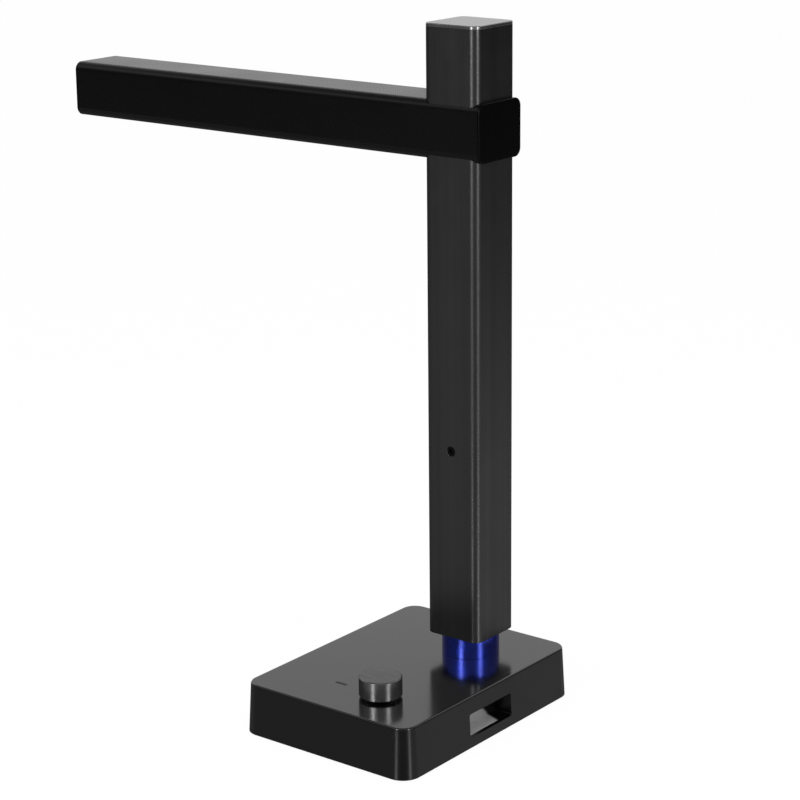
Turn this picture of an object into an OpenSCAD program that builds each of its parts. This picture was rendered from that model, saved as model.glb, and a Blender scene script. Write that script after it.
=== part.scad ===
// Overhead document scanner. A square column stands on a weighted base and turns
// on a swivel in a round collar. A hollow arm slides on the column and holds the
// camera and its lights at its far end. A push-and-turn knob sits on the base.
// Millimetres, Z up. The origin is on the surface that the pad stands on, under
// the middle of the base. The page lies on the -Y side, the sockets face +Y.

/* [Base] */
// Width of the base at its top, along X
base_w = 136.8; // [132:0.2:150]
// Depth of the base at its top, along Y
base_d = 101.8; // [98:0.2:115]
// Height of the base cover
base_h = 26.1; // [25:0.1:32]
// How much each side leans out between top and bottom
base_draft = 1.4; // [0.8:0.1:2]
// Corner radius of the base in plan
base_r = 8; // [7:0.5:10]
// Rounding of the base's upper edge
base_edge_r = 0.9; // [0.5:0.1:1.4]
// Wall thickness of the base cover
base_wall = 2.2; // [1.8:0.1:2.6]
// Thickness of the base cover's roof
roof_t = 2.2; // [1.8:0.1:2.6]
// Thickness of the bottom plate
plate_t = 2.4; // [2.2:0.1:3]
// How far the rubber pad holds the cover off the table
pad_rise = 0.8; // [0.5:0.1:1.5]
// Depth of the recess that the rubber pad is glued into
pad_recess = 0.6; // [0.4:0.1:0.8]
// Distance of the rubber pad from the base's sides, along X
pad_inset_x = 9.4; // [9:0.1:18]
// Distance of the rubber pad from the base's sides, along Y
pad_inset_y = 11.9; // [11.5:0.1:16]
// Distance of the cover's screws from the sides of the base
screw_inset = 9.4; // [9:0.1:10.5]
// Height of the ballast slab
ballast_t = 5; // [3:0.1:5.2]
// Height of the raised end of the ballast
ballast_block_h = 18; // [8:0.5:18]

/* [Column] */
// Distance of the column's axis from the base's left side
column_from_side = 34.6; // [33:0.2:36]
// Distance of the column's axis from the base's socket side
column_from_back = 37.1; // [36.4:0.1:38]
// Side of the square column
column_side = 32.3; // [31:0.1:33]
// Corner radius of the column
column_r = 4.4; // [3.6:0.1:4.8]
// Wall thickness of the column
column_wall = 1.6; // [1.4:0.1:1.9]
// Length of the column from its foot to the top of its cap
column_h = 310.4; // [300:0.2:340]
// Thickness of the cap's plate
cap_t = 1.6; // [1.2:0.1:2.4]
// Bevel round the cap's upper edge
cap_bevel = 0.5; // [0.3:0.1:0.8]
// Width of the guide slot in the column's front wall
slot_w = 7; // [6:0.1:8]
// Radius of the stop screw's hole in the column
stop_hole_r = 2.5; // [2.2:0.1:2.8]
// Height of the stop screw above the table
stop_z = 137; // [110:1:160]

/* [Swivel] */
// Outer radius of the coloured collar
collar_r = 14.7; // [14:0.1:15]
// Height of the collar between base and column
collar_h = 11; // [9:0.1:14]
// Radius of the hollow spindle
spindle_r = 9; // [8:0.1:9.4]
// Wall thickness of the hollow spindle
spindle_wall = 2.4; // [1.6:0.1:3]
// Wall thickness of the plain bushes
bush_wall = 2.2; // [1.6:0.1:2.6]
// Radial running clearance of the spindle in its bushes
running_gap = 0.05; // [0.03:0.01:0.08]

/* [Arm] */
// Gap between the column and the arm's side walls
slide_gap = 0.3; // [0.3:0.05:0.6]
// Height of the arm
arm_h = 28.9; // [28:0.1:32]
// Radius of the arm's four long edges
arm_r = 4.4; // [4:0.1:5]
// Thickness of the arm's side walls
arm_side_wall = 0.75; // [0.7:0.05:0.95]
// Thickness of the arm's upper and lower walls
arm_flat_wall = 1.4; // [1.2:0.1:1.8]
// Height of the arm's underside above the table
arm_z = 282.9; // [270:0.1:290]
// Reach of the arm from the column's axis to its front end
arm_reach = 251.9; // [240:0.1:280]
// How far the arm stands out behind the column
arm_tail = 2.1; // [2.1:0.1:3]
// Thickness of the arm's end caps
end_cap_t = 1.2; // [1.1:0.1:1.5]
// How far the arm can be raised
arm_lift = 28; // [10:1:30]

/* [Camera] */
// Distance of the lens from the arm's front end
lens_inset = 19; // [19:0.5:24]
// Outer radius of the lens bezel
bezel_r = 11; // [10:0.1:11.5]
// Radius of the lens window
window_r = 8; // [7:0.1:8.4]
// Radius of the lens barrel
barrel_r = 6.5; // [5:0.1:6.8]
// Side of the camera board
camera_board_side = 27; // [26:0.1:28]
// Length of the light strip
light_l = 120; // [100:1:130]
// Width of the light strip
light_w = 12; // [10:0.1:14]
// Number of lights on the strip
light_count = 10; // [6:1:14]

/* [Knob] */
// Distance of the knob's axis from the base's right side
knob_from_side = 26; // [24.5:0.1:27.5]
// Distance of the knob's axis from the base's socket side
knob_from_back = 35.7; // [34:0.1:37.5]
// Radius of the knob
knob_r = 10.7; // [10:0.1:12]
// Height of the knob
knob_h = 9.8; // [8:0.1:12]
// Gap between the knob and the base
knob_gap = 1.3; // [1.2:0.1:1.8]
// Travel of the knob when it is pushed
knob_travel = 0.6; // [0.4:0.05:0.7]
// Radius of the knob's shaft
shaft_r = 3; // [2.6:0.1:3.2]

/* [Indicator] */
// How far the indicator slit stands to the left of the knob's axis
slit_aside = 1.2; // [0:0.1:2]
// Distance of the indicator slit from the knob's axis, along Y
slit_from_knob = 25.9; // [24:0.1:27]
// Length of the indicator slit
slit_l = 7; // [5:0.1:8]
// Width of the indicator slit
slit_w = 1.7; // [1.4:0.1:2]
// How far the indicator's light pipe lies below the base's top
pipe_drop = 0.5; // [0.1:0.1:1]

/* [Socket recess] */
// Distance of the recess's middle from the column's axis, along X
port_from_column = 34.7; // [34:0.1:36]
// Height of the recess's middle above the table
port_z = 12; // [11.8:0.1:12.4]
// Width of the recess
port_w = 34.6; // [30:0.2:36]
// Height of the recess
port_h = 12; // [10:0.1:12.2]
// Depth of the recess
port_depth = 9.5; // [8:0.1:10]
// Place of the socket in the recess, from its middle
socket_offset = 11; // [9:0.1:11.4]

/* [Hidden] */
// Facets of round forms
$fn = 96;
// Overrun of every cut past the face that it opens
over = 1;
// Gap round a piece that is fitted into another of its own body
fit_gap = 0.05;
// Gap between pieces of different bodies that face each other
move_gap = 0.3;

// Places on the base, counted from its sides
column_x = column_from_side - base_w / 2;
column_y = base_d / 2 - column_from_back;
knob_x = base_w / 2 - knob_from_side;
knob_y = base_d / 2 - knob_from_back;
slit_x = knob_x - slit_aside;
slit_y = knob_y - slit_from_knob;
port_x = column_x + port_from_column;
pad_w = base_w - 2 * pad_inset_x;
pad_d = base_d - 2 * pad_inset_y;

// Levels of the base
cover_z = pad_rise;
cover_top = cover_z + base_h;
roof_z = cover_top - roof_t;
plate_inset = 0.3;
plate_z = cover_z + plate_inset;
plate_top = plate_z + plate_t;

// Half width that the draft adds at a height, over the size at the top
function draft_at(z) = base_draft * (cover_top - z) / base_h;
// Places of the four cover screws
screw_at_x = base_w / 2 - screw_inset;
screw_at_y = base_d / 2 - screw_inset;
screw_r = 1.5;
screw_head_r = 2.8;
screw_head_h = 1.4;
screw_l = 8;
boss_r = 3.6;
rib_t = 1.2;
rib_h = 6;

// Levels and sizes of the column
foot_z = cover_top + collar_h + move_gap;
column_top = foot_z + column_h;
tube_top = column_top - cap_t;
column_half = column_side / 2;
column_in = column_half - column_wall;
column_in_r = column_r - column_wall;
foot_h = 24;
skirt_h = 8;
skirt_t = 1.5;
foot_level_shares = [0.25, 0.75];
foot_screw_r = 1.5;
foot_screw_l = 7;

// Levels and sizes of the swivel
bush_bore = spindle_r + running_gap;
bush_r = bush_bore + bush_wall;
barrel_wall = 1.6;
hub_r = bush_r + fit_gap + barrel_wall;
washer_t = 0.5;
hub_top = foot_z - move_gap - washer_t;
hub_lower_r = 21;
well_r = 13.6;
well_h = 8;
well_top = plate_top + well_h;
bush_l = 9;
nut_h = 4.6;
nut_side_gap = 1;
nut_r = well_r - nut_side_gap;
nut_top = well_top - move_gap - washer_t;
nut_slots = 6;
nut_slot_w = 2.4;
nut_slot_depth = 1.6;
spindle_z = nut_top - nut_h;
spindle_seat = 18;
flange_screw_pcr = (hub_lower_r + well_r) / 2;
flange_screw_l = 7;

// Levels and sizes of the arm
arm_top = arm_z + arm_h;
arm_mid = arm_z + arm_h / 2;
arm_in_w = column_side + 2 * slide_gap;
arm_w = arm_in_w + 2 * arm_side_wall;
arm_in_h = arm_h - 2 * arm_flat_wall;
arm_in_r = arm_r - arm_side_wall;
arm_y1 = column_y + column_half + arm_tail;
arm_y0 = column_y - arm_reach;
arm_hole_r = column_r + slide_gap;
plug_l = 2.4;
plug_wall = 1.4;
cap_edge = 0.4;
guide_l = 16;
guide_gap = 0.2;
key_h = 12;
key_w = slot_w - 2 * move_gap;
key_past = 1.5;
pad_t = 1.2;
pad_side = 6;
pad_h = 16;
guide_screw_r = 1.5;
guide_screw_head_r = 2.8;
guide_screw_l = 8;

// The stop that the guide key rests on when the arm is right down
stop_half = 6;
stop_head_drop = 0.4;
stop_top = stop_z + stop_half;
arm_drop = arm_mid - key_h / 2 - stop_top - move_gap;
slot_r = column_wall;
slot_z0 = stop_top - slot_r;
slot_z1 = arm_mid + key_h / 2 + arm_lift + slot_r;

// Levels and sizes of the camera and its lights
lens_y = arm_y0 + lens_inset;
arm_floor = arm_z + arm_flat_wall;
bezel_drop = 0.6;
bezel_lip = 1.4;
bezel_rim = 1.2;
window_t = 1;
carrier_side = 30;
carrier_wall = 2;
carrier_floor = arm_floor + bezel_lip + carrier_wall;
camera_board_t = 1.2;
camera_rise = 20;
camera_board_z = arm_floor + camera_rise;
holder_side = 16;
holder_h = 6;
sensor_side = 8;
sensor_t = 1;
barrel_top = camera_board_z - sensor_t - move_gap;
barrel_z = carrier_floor;
camera_screw_inset = 2.6;
camera_screw_r = 1;
camera_screw_head_r = 1.9;
camera_screw_head_h = 1.2;
camera_screw_l = 5;
dome_share = 1.4;
dome_steps = 8;
light_gap = 10;
light_y = lens_y + carrier_side / 2 + light_gap + light_l / 2;
light_rail = 1.2;
light_rail_h = 4;
light_flange = 1.4;
light_board_t = 1.6;
light_side = 2.8;
light_t = 0.8;

// Levels and sizes of the boards and of the knob's parts
socket_w = 8.9;
socket_h = 3.2;
socket_l = 7.4;
socket_wall = 0.3;
tongue_w = 6.7;
tongue_t = 0.7;
tongue_inset = 0.6;
board_t = 1.6;
board_top = port_z - socket_h / 2;
board_z = board_top - board_t;
board_side_gap = 4.8;
board_from_side = 14.4;
board_x0 = column_x + hub_lower_r + board_side_gap;
board_x1 = base_w / 2 - board_from_side;
board_margin = 9;
board_y0 = slit_y - board_margin;
port_face = base_d / 2;
port_back = port_face - port_depth;
port_wall = 1.6;
panel_t = 1.6;
port_corner = 1.2;
tray_floor_t = 0.8;
tray_floor_w = port_w - 2 * port_corner;
tray_face = port_face - base_wall / 2;
board_y1 = port_back - panel_t - move_gap;
board_post_r = 3;
board_post_edge = 1;
board_post_in = board_post_r + board_post_edge;
board_screw_r = 1.2;
board_screw_head_r = 2.2;
board_screw_head_h = 1.4;
board_screw_l = 6;
board_posts = [
  [board_x0 + board_post_in, board_y0 + board_post_in],
  [board_x1 - board_post_in, board_y0 + board_post_in],
  [board_x0 + board_post_in, board_y1 - board_post_in],
  [board_x1 - board_post_in, board_y1 - board_post_in]
];
encoder_side = 12.4;
encoder_h = 6.6;
encoder_top = board_top + encoder_h;
encoder_neck_r = 4.4;
neck_gap = 1;
encoder_neck_h = roof_z - encoder_top - neck_gap;
encoder_well_r = 5;
encoder_floor = 0.6;
encoder_lid = 1;
plunger_r = 4.5;
plunger_t = 0.8;
plunger_z = board_top + encoder_floor + knob_travel + move_gap;
collar_z = plunger_z + plunger_t + move_gap;
shaft_collar_r = 4.2;
shaft_collar_t = 1;
shaft_hole_gap = 1;
shaft_hole_r = shaft_r + shaft_hole_gap;
knob_z = cover_top + knob_gap;
knob_top = knob_z + knob_h;
knob_wall = 1.4;
knob_roof = 1.8;
knob_edge = 0.5;
knob_dish = 0.3;
knob_dish_share = 0.86;
shaft_roof_gap = 0.8;
shaft_top = knob_top - knob_roof - shaft_roof_gap;
pipe_gap = 0.1;
pipe_flange = 1;
led_h = 0.9;
led_w = 1.5;

// Flat rounded rectangle about the origin, with true round corners
module rounded_rect(w, d, r) {
  union() {
    square([w, d - 2 * r], center = true);
    square([w - 2 * r, d], center = true);
    for (x = [-1, 1], y = [-1, 1])
      translate([x * (w / 2 - r), y * (d / 2 - r)])
        circle(r = r);
  }
}

// Upright prism of a rounded rectangle from one level to another
module slab(w, d, r, z0, z1) {
  translate([0, 0, z0])
    linear_extrude(height = z1 - z0)
      rounded_rect(w, d, r);
}

// Rounded slab whose wall follows a profile of [distance, level] points, where
// distance is counted outwards from the centres of the plan's corners
module profiled_slab(w, d, r, profile) {
  cx = w / 2 - r;
  cy = d / 2 - r;
  z_low = min([for (p = profile) p[1]]);
  z_high = max([for (p = profile) p[1]]);
  side = concat([[0, z_low]], profile, [[0, z_high]]);
  translate([0, 0, z_low])
    linear_extrude(height = z_high - z_low)
      square([2 * cx, 2 * cy], center = true);
  for (x = [-1, 1], y = [-1, 1])
    translate([x * cx, y * cy, 0])
      rotate_extrude()
        polygon(side);
  for (x = [0, 1])
    mirror([x, 0, 0])
      translate([cx, cy, 0])
        rotate([90, 0, 0])
          linear_extrude(height = 2 * cy)
            polygon(side);
  for (y = [0, 1])
    mirror([0, y, 0])
      translate([-cx, cy, 0])
        rotate([90, 0, 90])
          linear_extrude(height = 2 * cx)
            polygon(side);
}

// Tube or disc with a hole, standing on a level
module ring(r_out, r_in, z0, z1) {
  translate([0, 0, z0])
    rotate_extrude()
      translate([r_in, 0])
        square([r_out - r_in, z1 - z0]);
}

// Shares of a screw's head and shank that give its cross recess and its crown
cross_l_share = 1.2;
cross_w_share = 0.4;
crown_h_share = 0.6;
crown_r_share = 0.8;

// Countersunk screw that points up from a face, with a cross recess below
module countersunk_screw(r, head_r, head_h, l) {
  difference() {
    rotate_extrude()
      polygon([[0, 0], [head_r, 0], [r, head_h], [r, l - r / 2], [r / 2, l], [0, l]]);
    for (turn = [0, 90])
      rotate([0, 0, turn])
        translate([0, 0, head_h / 4 - over / 2])
          cube([head_r * cross_l_share, r * cross_w_share, head_h / 2 + over], center = true);
  }
}

// Cut that seats such a screw in a plate, with room round the shank
module countersunk_hole(r, head_r, head_h, t) {
  rotate_extrude()
    polygon([[0, -over], [head_r + fit_gap, -over], [head_r + fit_gap, 0],
      [r + fit_gap, head_h + fit_gap], [r + fit_gap, t + over], [0, t + over]]);
}

// Pan-head screw that points down from a board, head above the face at zero
module pan_screw(r, head_r, head_h, l) {
  difference() {
    rotate_extrude()
      polygon([[0, -l], [r / 2, -l], [r, r / 2 - l], [r, 0], [head_r, 0],
        [head_r, head_h * crown_h_share], [head_r * crown_r_share, head_h], [0, head_h]]);
    for (turn = [0, 90])
      rotate([0, 0, turn])
        translate([0, 0, head_h])
          cube([head_r * cross_l_share, r * cross_w_share, head_h], center = true);
  }
}

module at_cover_screws() {
  for (x = [-1, 1], y = [-1, 1])
    translate([x * screw_at_x, y * screw_at_y, 0])
      children();
}

module at_column() {
  translate([column_x, column_y, 0])
    children();
}

module at_knob() {
  translate([knob_x, knob_y, 0])
    children();
}

module at_board_posts() {
  for (p = board_posts)
    translate([p[0], p[1], 0])
      children();
}

module at_hub_screws() {
  at_column()
    for (turn = [45:90:315])
      rotate([0, 0, turn])
        translate([flange_screw_pcr, 0, 0])
          children();
}

// Outline of the ballast, and the places of the screws that hold it
ballast_gap = 6;
ballast_side_gap = 1;
ballast_x = base_w / 2 - base_wall - ballast_gap;
ballast_y0 = -(base_d / 2 - base_wall - ballast_gap);
ballast_y1 = port_back - panel_t - ballast_gap;
ballast_top = plate_top + ballast_t;
ballast_block_x1 = board_x0 - ballast_gap;
ballast_block_y1 = column_y - hub_lower_r - ballast_gap;
ballast_screw_l = 6;
ballast_screw_in_x = 26;
ballast_screw_in_y = 10;
ballast_screw_places = [
  [ballast_screw_in_x - ballast_x, ballast_y0 + ballast_screw_in_y],
  [ballast_x - ballast_screw_in_x, ballast_y0 + ballast_screw_in_y]
];

module at_ballast_screws() {
  for (p = ballast_screw_places)
    translate([p[0], p[1], 0])
      children();
}

// Profile of the cover's outside, drafted, with an upper edge rounded in steps
edge_turn = 15;
edge_z = cover_top - base_edge_r;
function cover_profile() = concat(
  [[base_r + base_draft, cover_z], [base_r + draft_at(edge_z), edge_z]],
  [for (a = [edge_turn:edge_turn:90])
    [base_r - base_edge_r * (1 - cos(a)), edge_z + base_edge_r * sin(a)]]
);

// Profile of the hollow inside the cover
function cavity_profile() = [
  [base_r - base_wall + draft_at(cover_z - over), cover_z - over],
  [base_r - base_wall + draft_at(roof_z), roof_z]
];

module slit_shape(gap) {
  for (y = [-1, 1])
    translate([0, y * (slit_l - slit_w) / 2])
      circle(r = slit_w / 2 + gap);
  square([slit_w + 2 * gap, slit_l - slit_w], center = true);
}

// Flat of the recess seen from behind, about its middle
module port_shape(grow) {
  rounded_rect(port_w + 2 * grow, port_h + 2 * grow, port_corner + grow);
}

module port_prism(grow, y0, y1) {
  translate([port_x, y1, port_z])
    rotate([90, 0, 0])
      linear_extrude(height = y1 - y0)
        port_shape(grow);
}

// Floor plate of the tray in the recess, let into the lining's floor
module tray_floor(grow, y0, y1) {
  translate([port_x - tray_floor_w / 2 - grow, y0, port_z - port_h / 2 - tray_floor_t - grow])
    cube([tray_floor_w + 2 * grow, y1 - y0, tray_floor_t + grow]);
}

module base_cover() {
  color([0.13, 0.13, 0.13])
    difference() {
      union() {
        difference() {
          profiled_slab(base_w, base_d, base_r, cover_profile());
          profiled_slab(base_w, base_d, base_r, cavity_profile());
        }
        at_cover_screws()
          translate([0, 0, plate_top])
            cylinder(r = boss_r, h = roof_z - plate_top + roof_t / 2);
        for (x = [-1, 1], y = [-1, 1])
          translate([x * (screw_at_x + base_wall), y * screw_at_y, roof_z - rib_h / 2 + roof_t / 4])
            cube([2 * (boss_r + base_wall), rib_t, rib_h + roof_t / 2], center = true);
        at_column()
          ring(hub_r + fit_gap + 2 * rib_t, hub_r + fit_gap, roof_z - rib_h, roof_z + roof_t / 2);
        port_prism(port_wall, port_back, port_face);
      }
      at_cover_screws()
        translate([0, 0, plate_top - over])
          cylinder(r = screw_r + fit_gap, h = screw_l + over);
      at_column()
        cylinder(r = hub_r + fit_gap, h = cover_top + over);
      at_knob()
        translate([0, 0, roof_z - over])
          cylinder(r = shaft_hole_r, h = roof_t + 2 * over);
      translate([slit_x, slit_y, roof_z - over])
        linear_extrude(height = roof_t + 2 * over)
          slit_shape(pipe_gap);
      port_prism(0, port_back - over, port_face + base_draft + over);
      tray_floor(fit_gap, port_back - over, tray_face + fit_gap);
    }
}

module base_plate() {
  edge = draft_at(plate_top) - base_wall - 2 * fit_gap;
  color([0.1, 0.1, 0.1])
    difference() {
      union() {
        slab(base_w + 2 * edge, base_d + 2 * edge, base_r + edge, plate_z, plate_top);
        at_board_posts()
          translate([0, 0, plate_z])
            cylinder(r = board_post_r, h = board_z - plate_z);
      }
      slab(pad_w + 2 * fit_gap, pad_d + 2 * fit_gap, base_r, plate_z - over, plate_z + pad_recess);
      at_cover_screws()
        translate([0, 0, plate_z])
          countersunk_hole(screw_r, screw_head_r, screw_head_h, plate_t);
      at_hub_screws()
        translate([0, 0, plate_z + pad_recess])
          countersunk_hole(screw_r, screw_head_r, screw_head_h, plate_t);
      at_ballast_screws()
        translate([0, 0, plate_z + pad_recess])
          countersunk_hole(screw_r, screw_head_r, screw_head_h, plate_t);
      at_board_posts()
        translate([0, 0, board_z - board_screw_l])
          cylinder(r = board_screw_r + fit_gap, h = board_screw_l + over);
    }
}

module rubber_pad() {
  color([0.07, 0.07, 0.07])
    slab(pad_w, pad_d, base_r - fit_gap, 0, plate_z + pad_recess);
}

module plate_screws() {
  color([0.5, 0.5, 0.52])
    at_cover_screws()
      translate([0, 0, plate_z])
        countersunk_screw(screw_r, screw_head_r, screw_head_h, screw_l);
}

module ballast_weight() {
  color([0.3, 0.3, 0.31])
    difference() {
      union() {
        translate([-ballast_x, ballast_y0, plate_top])
          cube([2 * ballast_x, ballast_y1 - ballast_y0, ballast_t]);
        translate([-ballast_x, ballast_y0, plate_top])
          cube([ballast_block_x1 + ballast_x, ballast_block_y1 - ballast_y0, ballast_block_h]);
      }
      at_cover_screws()
        translate([0, 0, plate_top - over])
          cylinder(r = boss_r + ballast_side_gap, h = ballast_block_h + 2 * over);
      for (x = [-1, 1], y = [-1, 1])
        translate([x * screw_at_x, y * screw_at_y, plate_top + ballast_block_h / 2])
          translate([x * screw_inset, y * screw_inset, 0])
            cube([2 * screw_inset, 2 * screw_inset, ballast_block_h + 2 * over], center = true);
      at_column()
        translate([0, 0, plate_top - over])
          cylinder(r = hub_lower_r + ballast_side_gap, h = ballast_block_h + 2 * over);
      at_board_posts()
        translate([0, 0, plate_top - over])
          cylinder(r = board_post_r + ballast_side_gap, h = ballast_t + 2 * over);
      at_ballast_screws()
        translate([0, 0, plate_top - over])
          cylinder(r = screw_r + fit_gap, h = ballast_screw_l);
    }
}

module ballast_screws() {
  color([0.5, 0.5, 0.52])
    at_ballast_screws()
      translate([0, 0, plate_z + pad_recess])
        countersunk_screw(screw_r, screw_head_r, screw_head_h, ballast_screw_l);
}

// Rounded outline of the socket's shell, about its middle
module socket_shape(grow) {
  rounded_rect(socket_w + 2 * grow, socket_h + 2 * grow, socket_h / 2 + grow - fit_gap);
}

module at_socket() {
  translate([port_x + socket_offset, port_back, board_top + socket_h / 2])
    rotate([90, 0, 0])
      children();
}

module port_panel() {
  color([0.62, 0.62, 0.62])
    difference() {
      union() {
        port_prism(port_wall, port_back - panel_t, port_back);
        tray_floor(0, port_back - panel_t / 2, tray_face);
      }
      at_socket()
        translate([0, 0, -over])
          linear_extrude(height = panel_t + 2 * over)
            socket_shape(2 * fit_gap);
    }
}

module usb_socket() {
  color([0.6, 0.6, 0.62])
    at_socket()
      union() {
        difference() {
          linear_extrude(height = socket_l)
            socket_shape(0);
          translate([0, 0, -over])
            linear_extrude(height = socket_l - socket_wall + over)
              socket_shape(-socket_wall);
        }
        translate([-tongue_w / 2, -tongue_t / 2, tongue_inset])
          cube([tongue_w, tongue_t, socket_l - socket_wall / 2 - tongue_inset]);
      }
}

module control_board() {
  color([0.08, 0.2, 0.12])
    difference() {
      translate([board_x0, board_y0, board_z])
        cube([board_x1 - board_x0, board_y1 - board_y0, board_t]);
      at_board_posts()
        translate([0, 0, board_z - over])
          cylinder(r = board_screw_r + fit_gap, h = board_t + 2 * over);
    }
}

// Places and sizes of the chips, as shares of the board
chip_shares = [[0.22, 0.3, 0.2, 0.24], [0.5, 0.8, 0.12, 0.14], [0.5, 0.2, 0.14, 0.1]];
chip_t = 1.4;

module board_chips() {
  board_w = board_x1 - board_x0;
  board_d = board_y1 - board_y0;
  color([0.05, 0.05, 0.05])
    for (c = chip_shares)
      translate([board_x0 + c[0] * board_w, board_y0 + c[1] * board_d, board_top])
        translate([-c[2] * board_w / 2, -c[3] * board_d / 2, 0])
          cube([c[2] * board_w, c[3] * board_d, chip_t]);
}

module board_screws() {
  color([0.6, 0.6, 0.62])
    at_board_posts()
      translate([0, 0, board_top])
        pan_screw(board_screw_r, board_screw_head_r, board_screw_head_h, board_screw_l);
}

module indicator_lens() {
  color([0.02, 0.02, 0.03])
    translate([slit_x, slit_y, 0])
      union() {
        translate([0, 0, board_top + led_h + fit_gap])
          linear_extrude(height = cover_top - pipe_drop - board_top - led_h - fit_gap)
            slit_shape(0);
        translate([0, 0, roof_z - pipe_flange])
          linear_extrude(height = pipe_flange)
            slit_shape(pipe_flange);
      }
}

module indicator_led() {
  color([0.8, 0.8, 0.75])
    translate([slit_x - led_w / 2, slit_y - slit_l / 4, board_top])
      cube([led_w, slit_l / 2, led_h]);
}

module encoder_body() {
  color([0.35, 0.35, 0.36])
    at_knob()
      difference() {
        union() {
          translate([-encoder_side / 2, -encoder_side / 2, board_top])
            cube([encoder_side, encoder_side, encoder_h]);
          translate([0, 0, encoder_top])
            cylinder(r = encoder_neck_r, h = encoder_neck_h);
        }
        translate([0, 0, board_top + encoder_floor])
          cylinder(r = encoder_well_r, h = encoder_h - encoder_floor - encoder_lid);
        translate([0, 0, encoder_top - encoder_lid - over])
          cylinder(r = shaft_r + running_gap, h = encoder_lid + encoder_neck_h + 2 * over);
      }
}

module encoder_plunger() {
  color([0.75, 0.73, 0.68])
    at_knob()
      translate([0, 0, plunger_z])
        cylinder(r = plunger_r, h = plunger_t);
}

module knob_shaft() {
  color([0.7, 0.7, 0.72])
    at_knob()
      rotate_extrude()
        polygon([[0, collar_z], [shaft_collar_r, collar_z],
          [shaft_collar_r, collar_z + shaft_collar_t], [shaft_r, collar_z + shaft_collar_t],
          [shaft_r, shaft_top - knob_edge], [shaft_r - knob_edge, shaft_top], [0, shaft_top]]);
}

module knob_insert() {
  color([0.05, 0.05, 0.05])
    at_knob()
      ring(knob_r - knob_wall - fit_gap, shaft_r + fit_gap, knob_z + knob_edge, shaft_top - fit_gap);
}

module knob_cap() {
  dish_r = knob_r * knob_dish_share;
  color([0.35, 0.35, 0.36])
    at_knob()
      rotate_extrude()
        polygon([[knob_r - knob_wall, knob_z], [knob_r - knob_edge / 2, knob_z],
          [knob_r, knob_z + knob_edge / 2], [knob_r, knob_top - knob_edge],
          [knob_r - knob_edge, knob_top], [dish_r + knob_dish, knob_top],
          [dish_r, knob_top - knob_dish], [0, knob_top - knob_dish],
          [0, knob_top - knob_roof], [knob_r - knob_wall, knob_top - knob_roof]]);
}

module swivel_hub() {
  color([0.45, 0.45, 0.46])
    difference() {
      at_column()
        rotate_extrude()
          polygon([[well_r, plate_top], [hub_lower_r, plate_top],
            [hub_lower_r, well_top], [hub_r + 2 * rib_t, well_top + barrel_wall],
            [hub_r, well_top + 3 * barrel_wall], [hub_r, hub_top],
            [bush_r + fit_gap, hub_top], [bush_r + fit_gap, well_top], [well_r, well_top]]);
      at_hub_screws()
        translate([0, 0, plate_top - over])
          cylinder(r = screw_r + fit_gap, h = flange_screw_l);
    }
}

module hub_screws() {
  color([0.5, 0.5, 0.52])
    at_hub_screws()
      translate([0, 0, plate_z + pad_recess])
        countersunk_screw(screw_r, screw_head_r, screw_head_h, flange_screw_l);
}

module swivel_bushes() {
  color([0.7, 0.5, 0.25])
    at_column() {
      ring(bush_r, bush_bore, well_top, well_top + bush_l);
      ring(bush_r, bush_bore, hub_top - bush_l, hub_top);
    }
}

module thrust_washer() {
  color([0.9, 0.9, 0.86])
    at_column()
      ring(hub_r, spindle_r + move_gap, hub_top, hub_top + washer_t);
}

module collar_ring() {
  color([0.02, 0.04, 0.45])
    at_column()
      rotate_extrude()
        polygon([[hub_r + fit_gap, cover_top], [collar_r, cover_top],
          [collar_r, foot_z - move_gap - knob_edge], [collar_r - knob_edge, foot_z - move_gap],
          [hub_r + fit_gap, foot_z - move_gap]]);
}

module swivel_spindle() {
  color([0.6, 0.6, 0.62])
    at_column()
      ring(spindle_r, spindle_r - spindle_wall, spindle_z, foot_z + spindle_seat);
}

module spring_washer() {
  color([0.55, 0.55, 0.57])
    at_column()
      ring(nut_r, spindle_r + fit_gap, nut_top, nut_top + washer_t);
}

module spindle_nut() {
  color([0.5, 0.5, 0.52])
    at_column()
      difference() {
        ring(nut_r, spindle_r + fit_gap, spindle_z, nut_top);
        for (turn = [0:360 / nut_slots:359])
          rotate([0, 0, turn])
            translate([nut_r - nut_slot_depth, -nut_slot_w / 2, spindle_z - over])
              cube([nut_slot_depth + over, nut_slot_w, nut_h + 2 * over]);
      }
}

module column_foot() {
  half = column_in - fit_gap;
  color([0.4, 0.4, 0.41])
    difference() {
      at_column()
        slab(2 * half, 2 * half, column_in_r, foot_z, foot_z + foot_h);
      at_column()
        translate([0, 0, foot_z - over])
          cylinder(r = spindle_r + fit_gap, h = spindle_seat + over);
      at_column()
        translate([0, 0, foot_z])
          cylinder(r = spindle_r - spindle_wall, h = foot_h + over);
      at_foot_screws()
        translate([0, 0, column_wall])
          cylinder(r = foot_screw_r + fit_gap, h = foot_screw_l);
    }
}

module at_foot_screws() {
  for (share = foot_level_shares, side = [-1, 1])
    translate([column_x - column_half, column_y + side * column_in / 2, foot_z + share * foot_h])
      rotate([0, 90, 0])
        children();
}

module foot_screws() {
  color([0.3, 0.3, 0.31])
    at_foot_screws()
      countersunk_screw(foot_screw_r, screw_head_r, screw_head_h, foot_screw_l);
}

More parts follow.
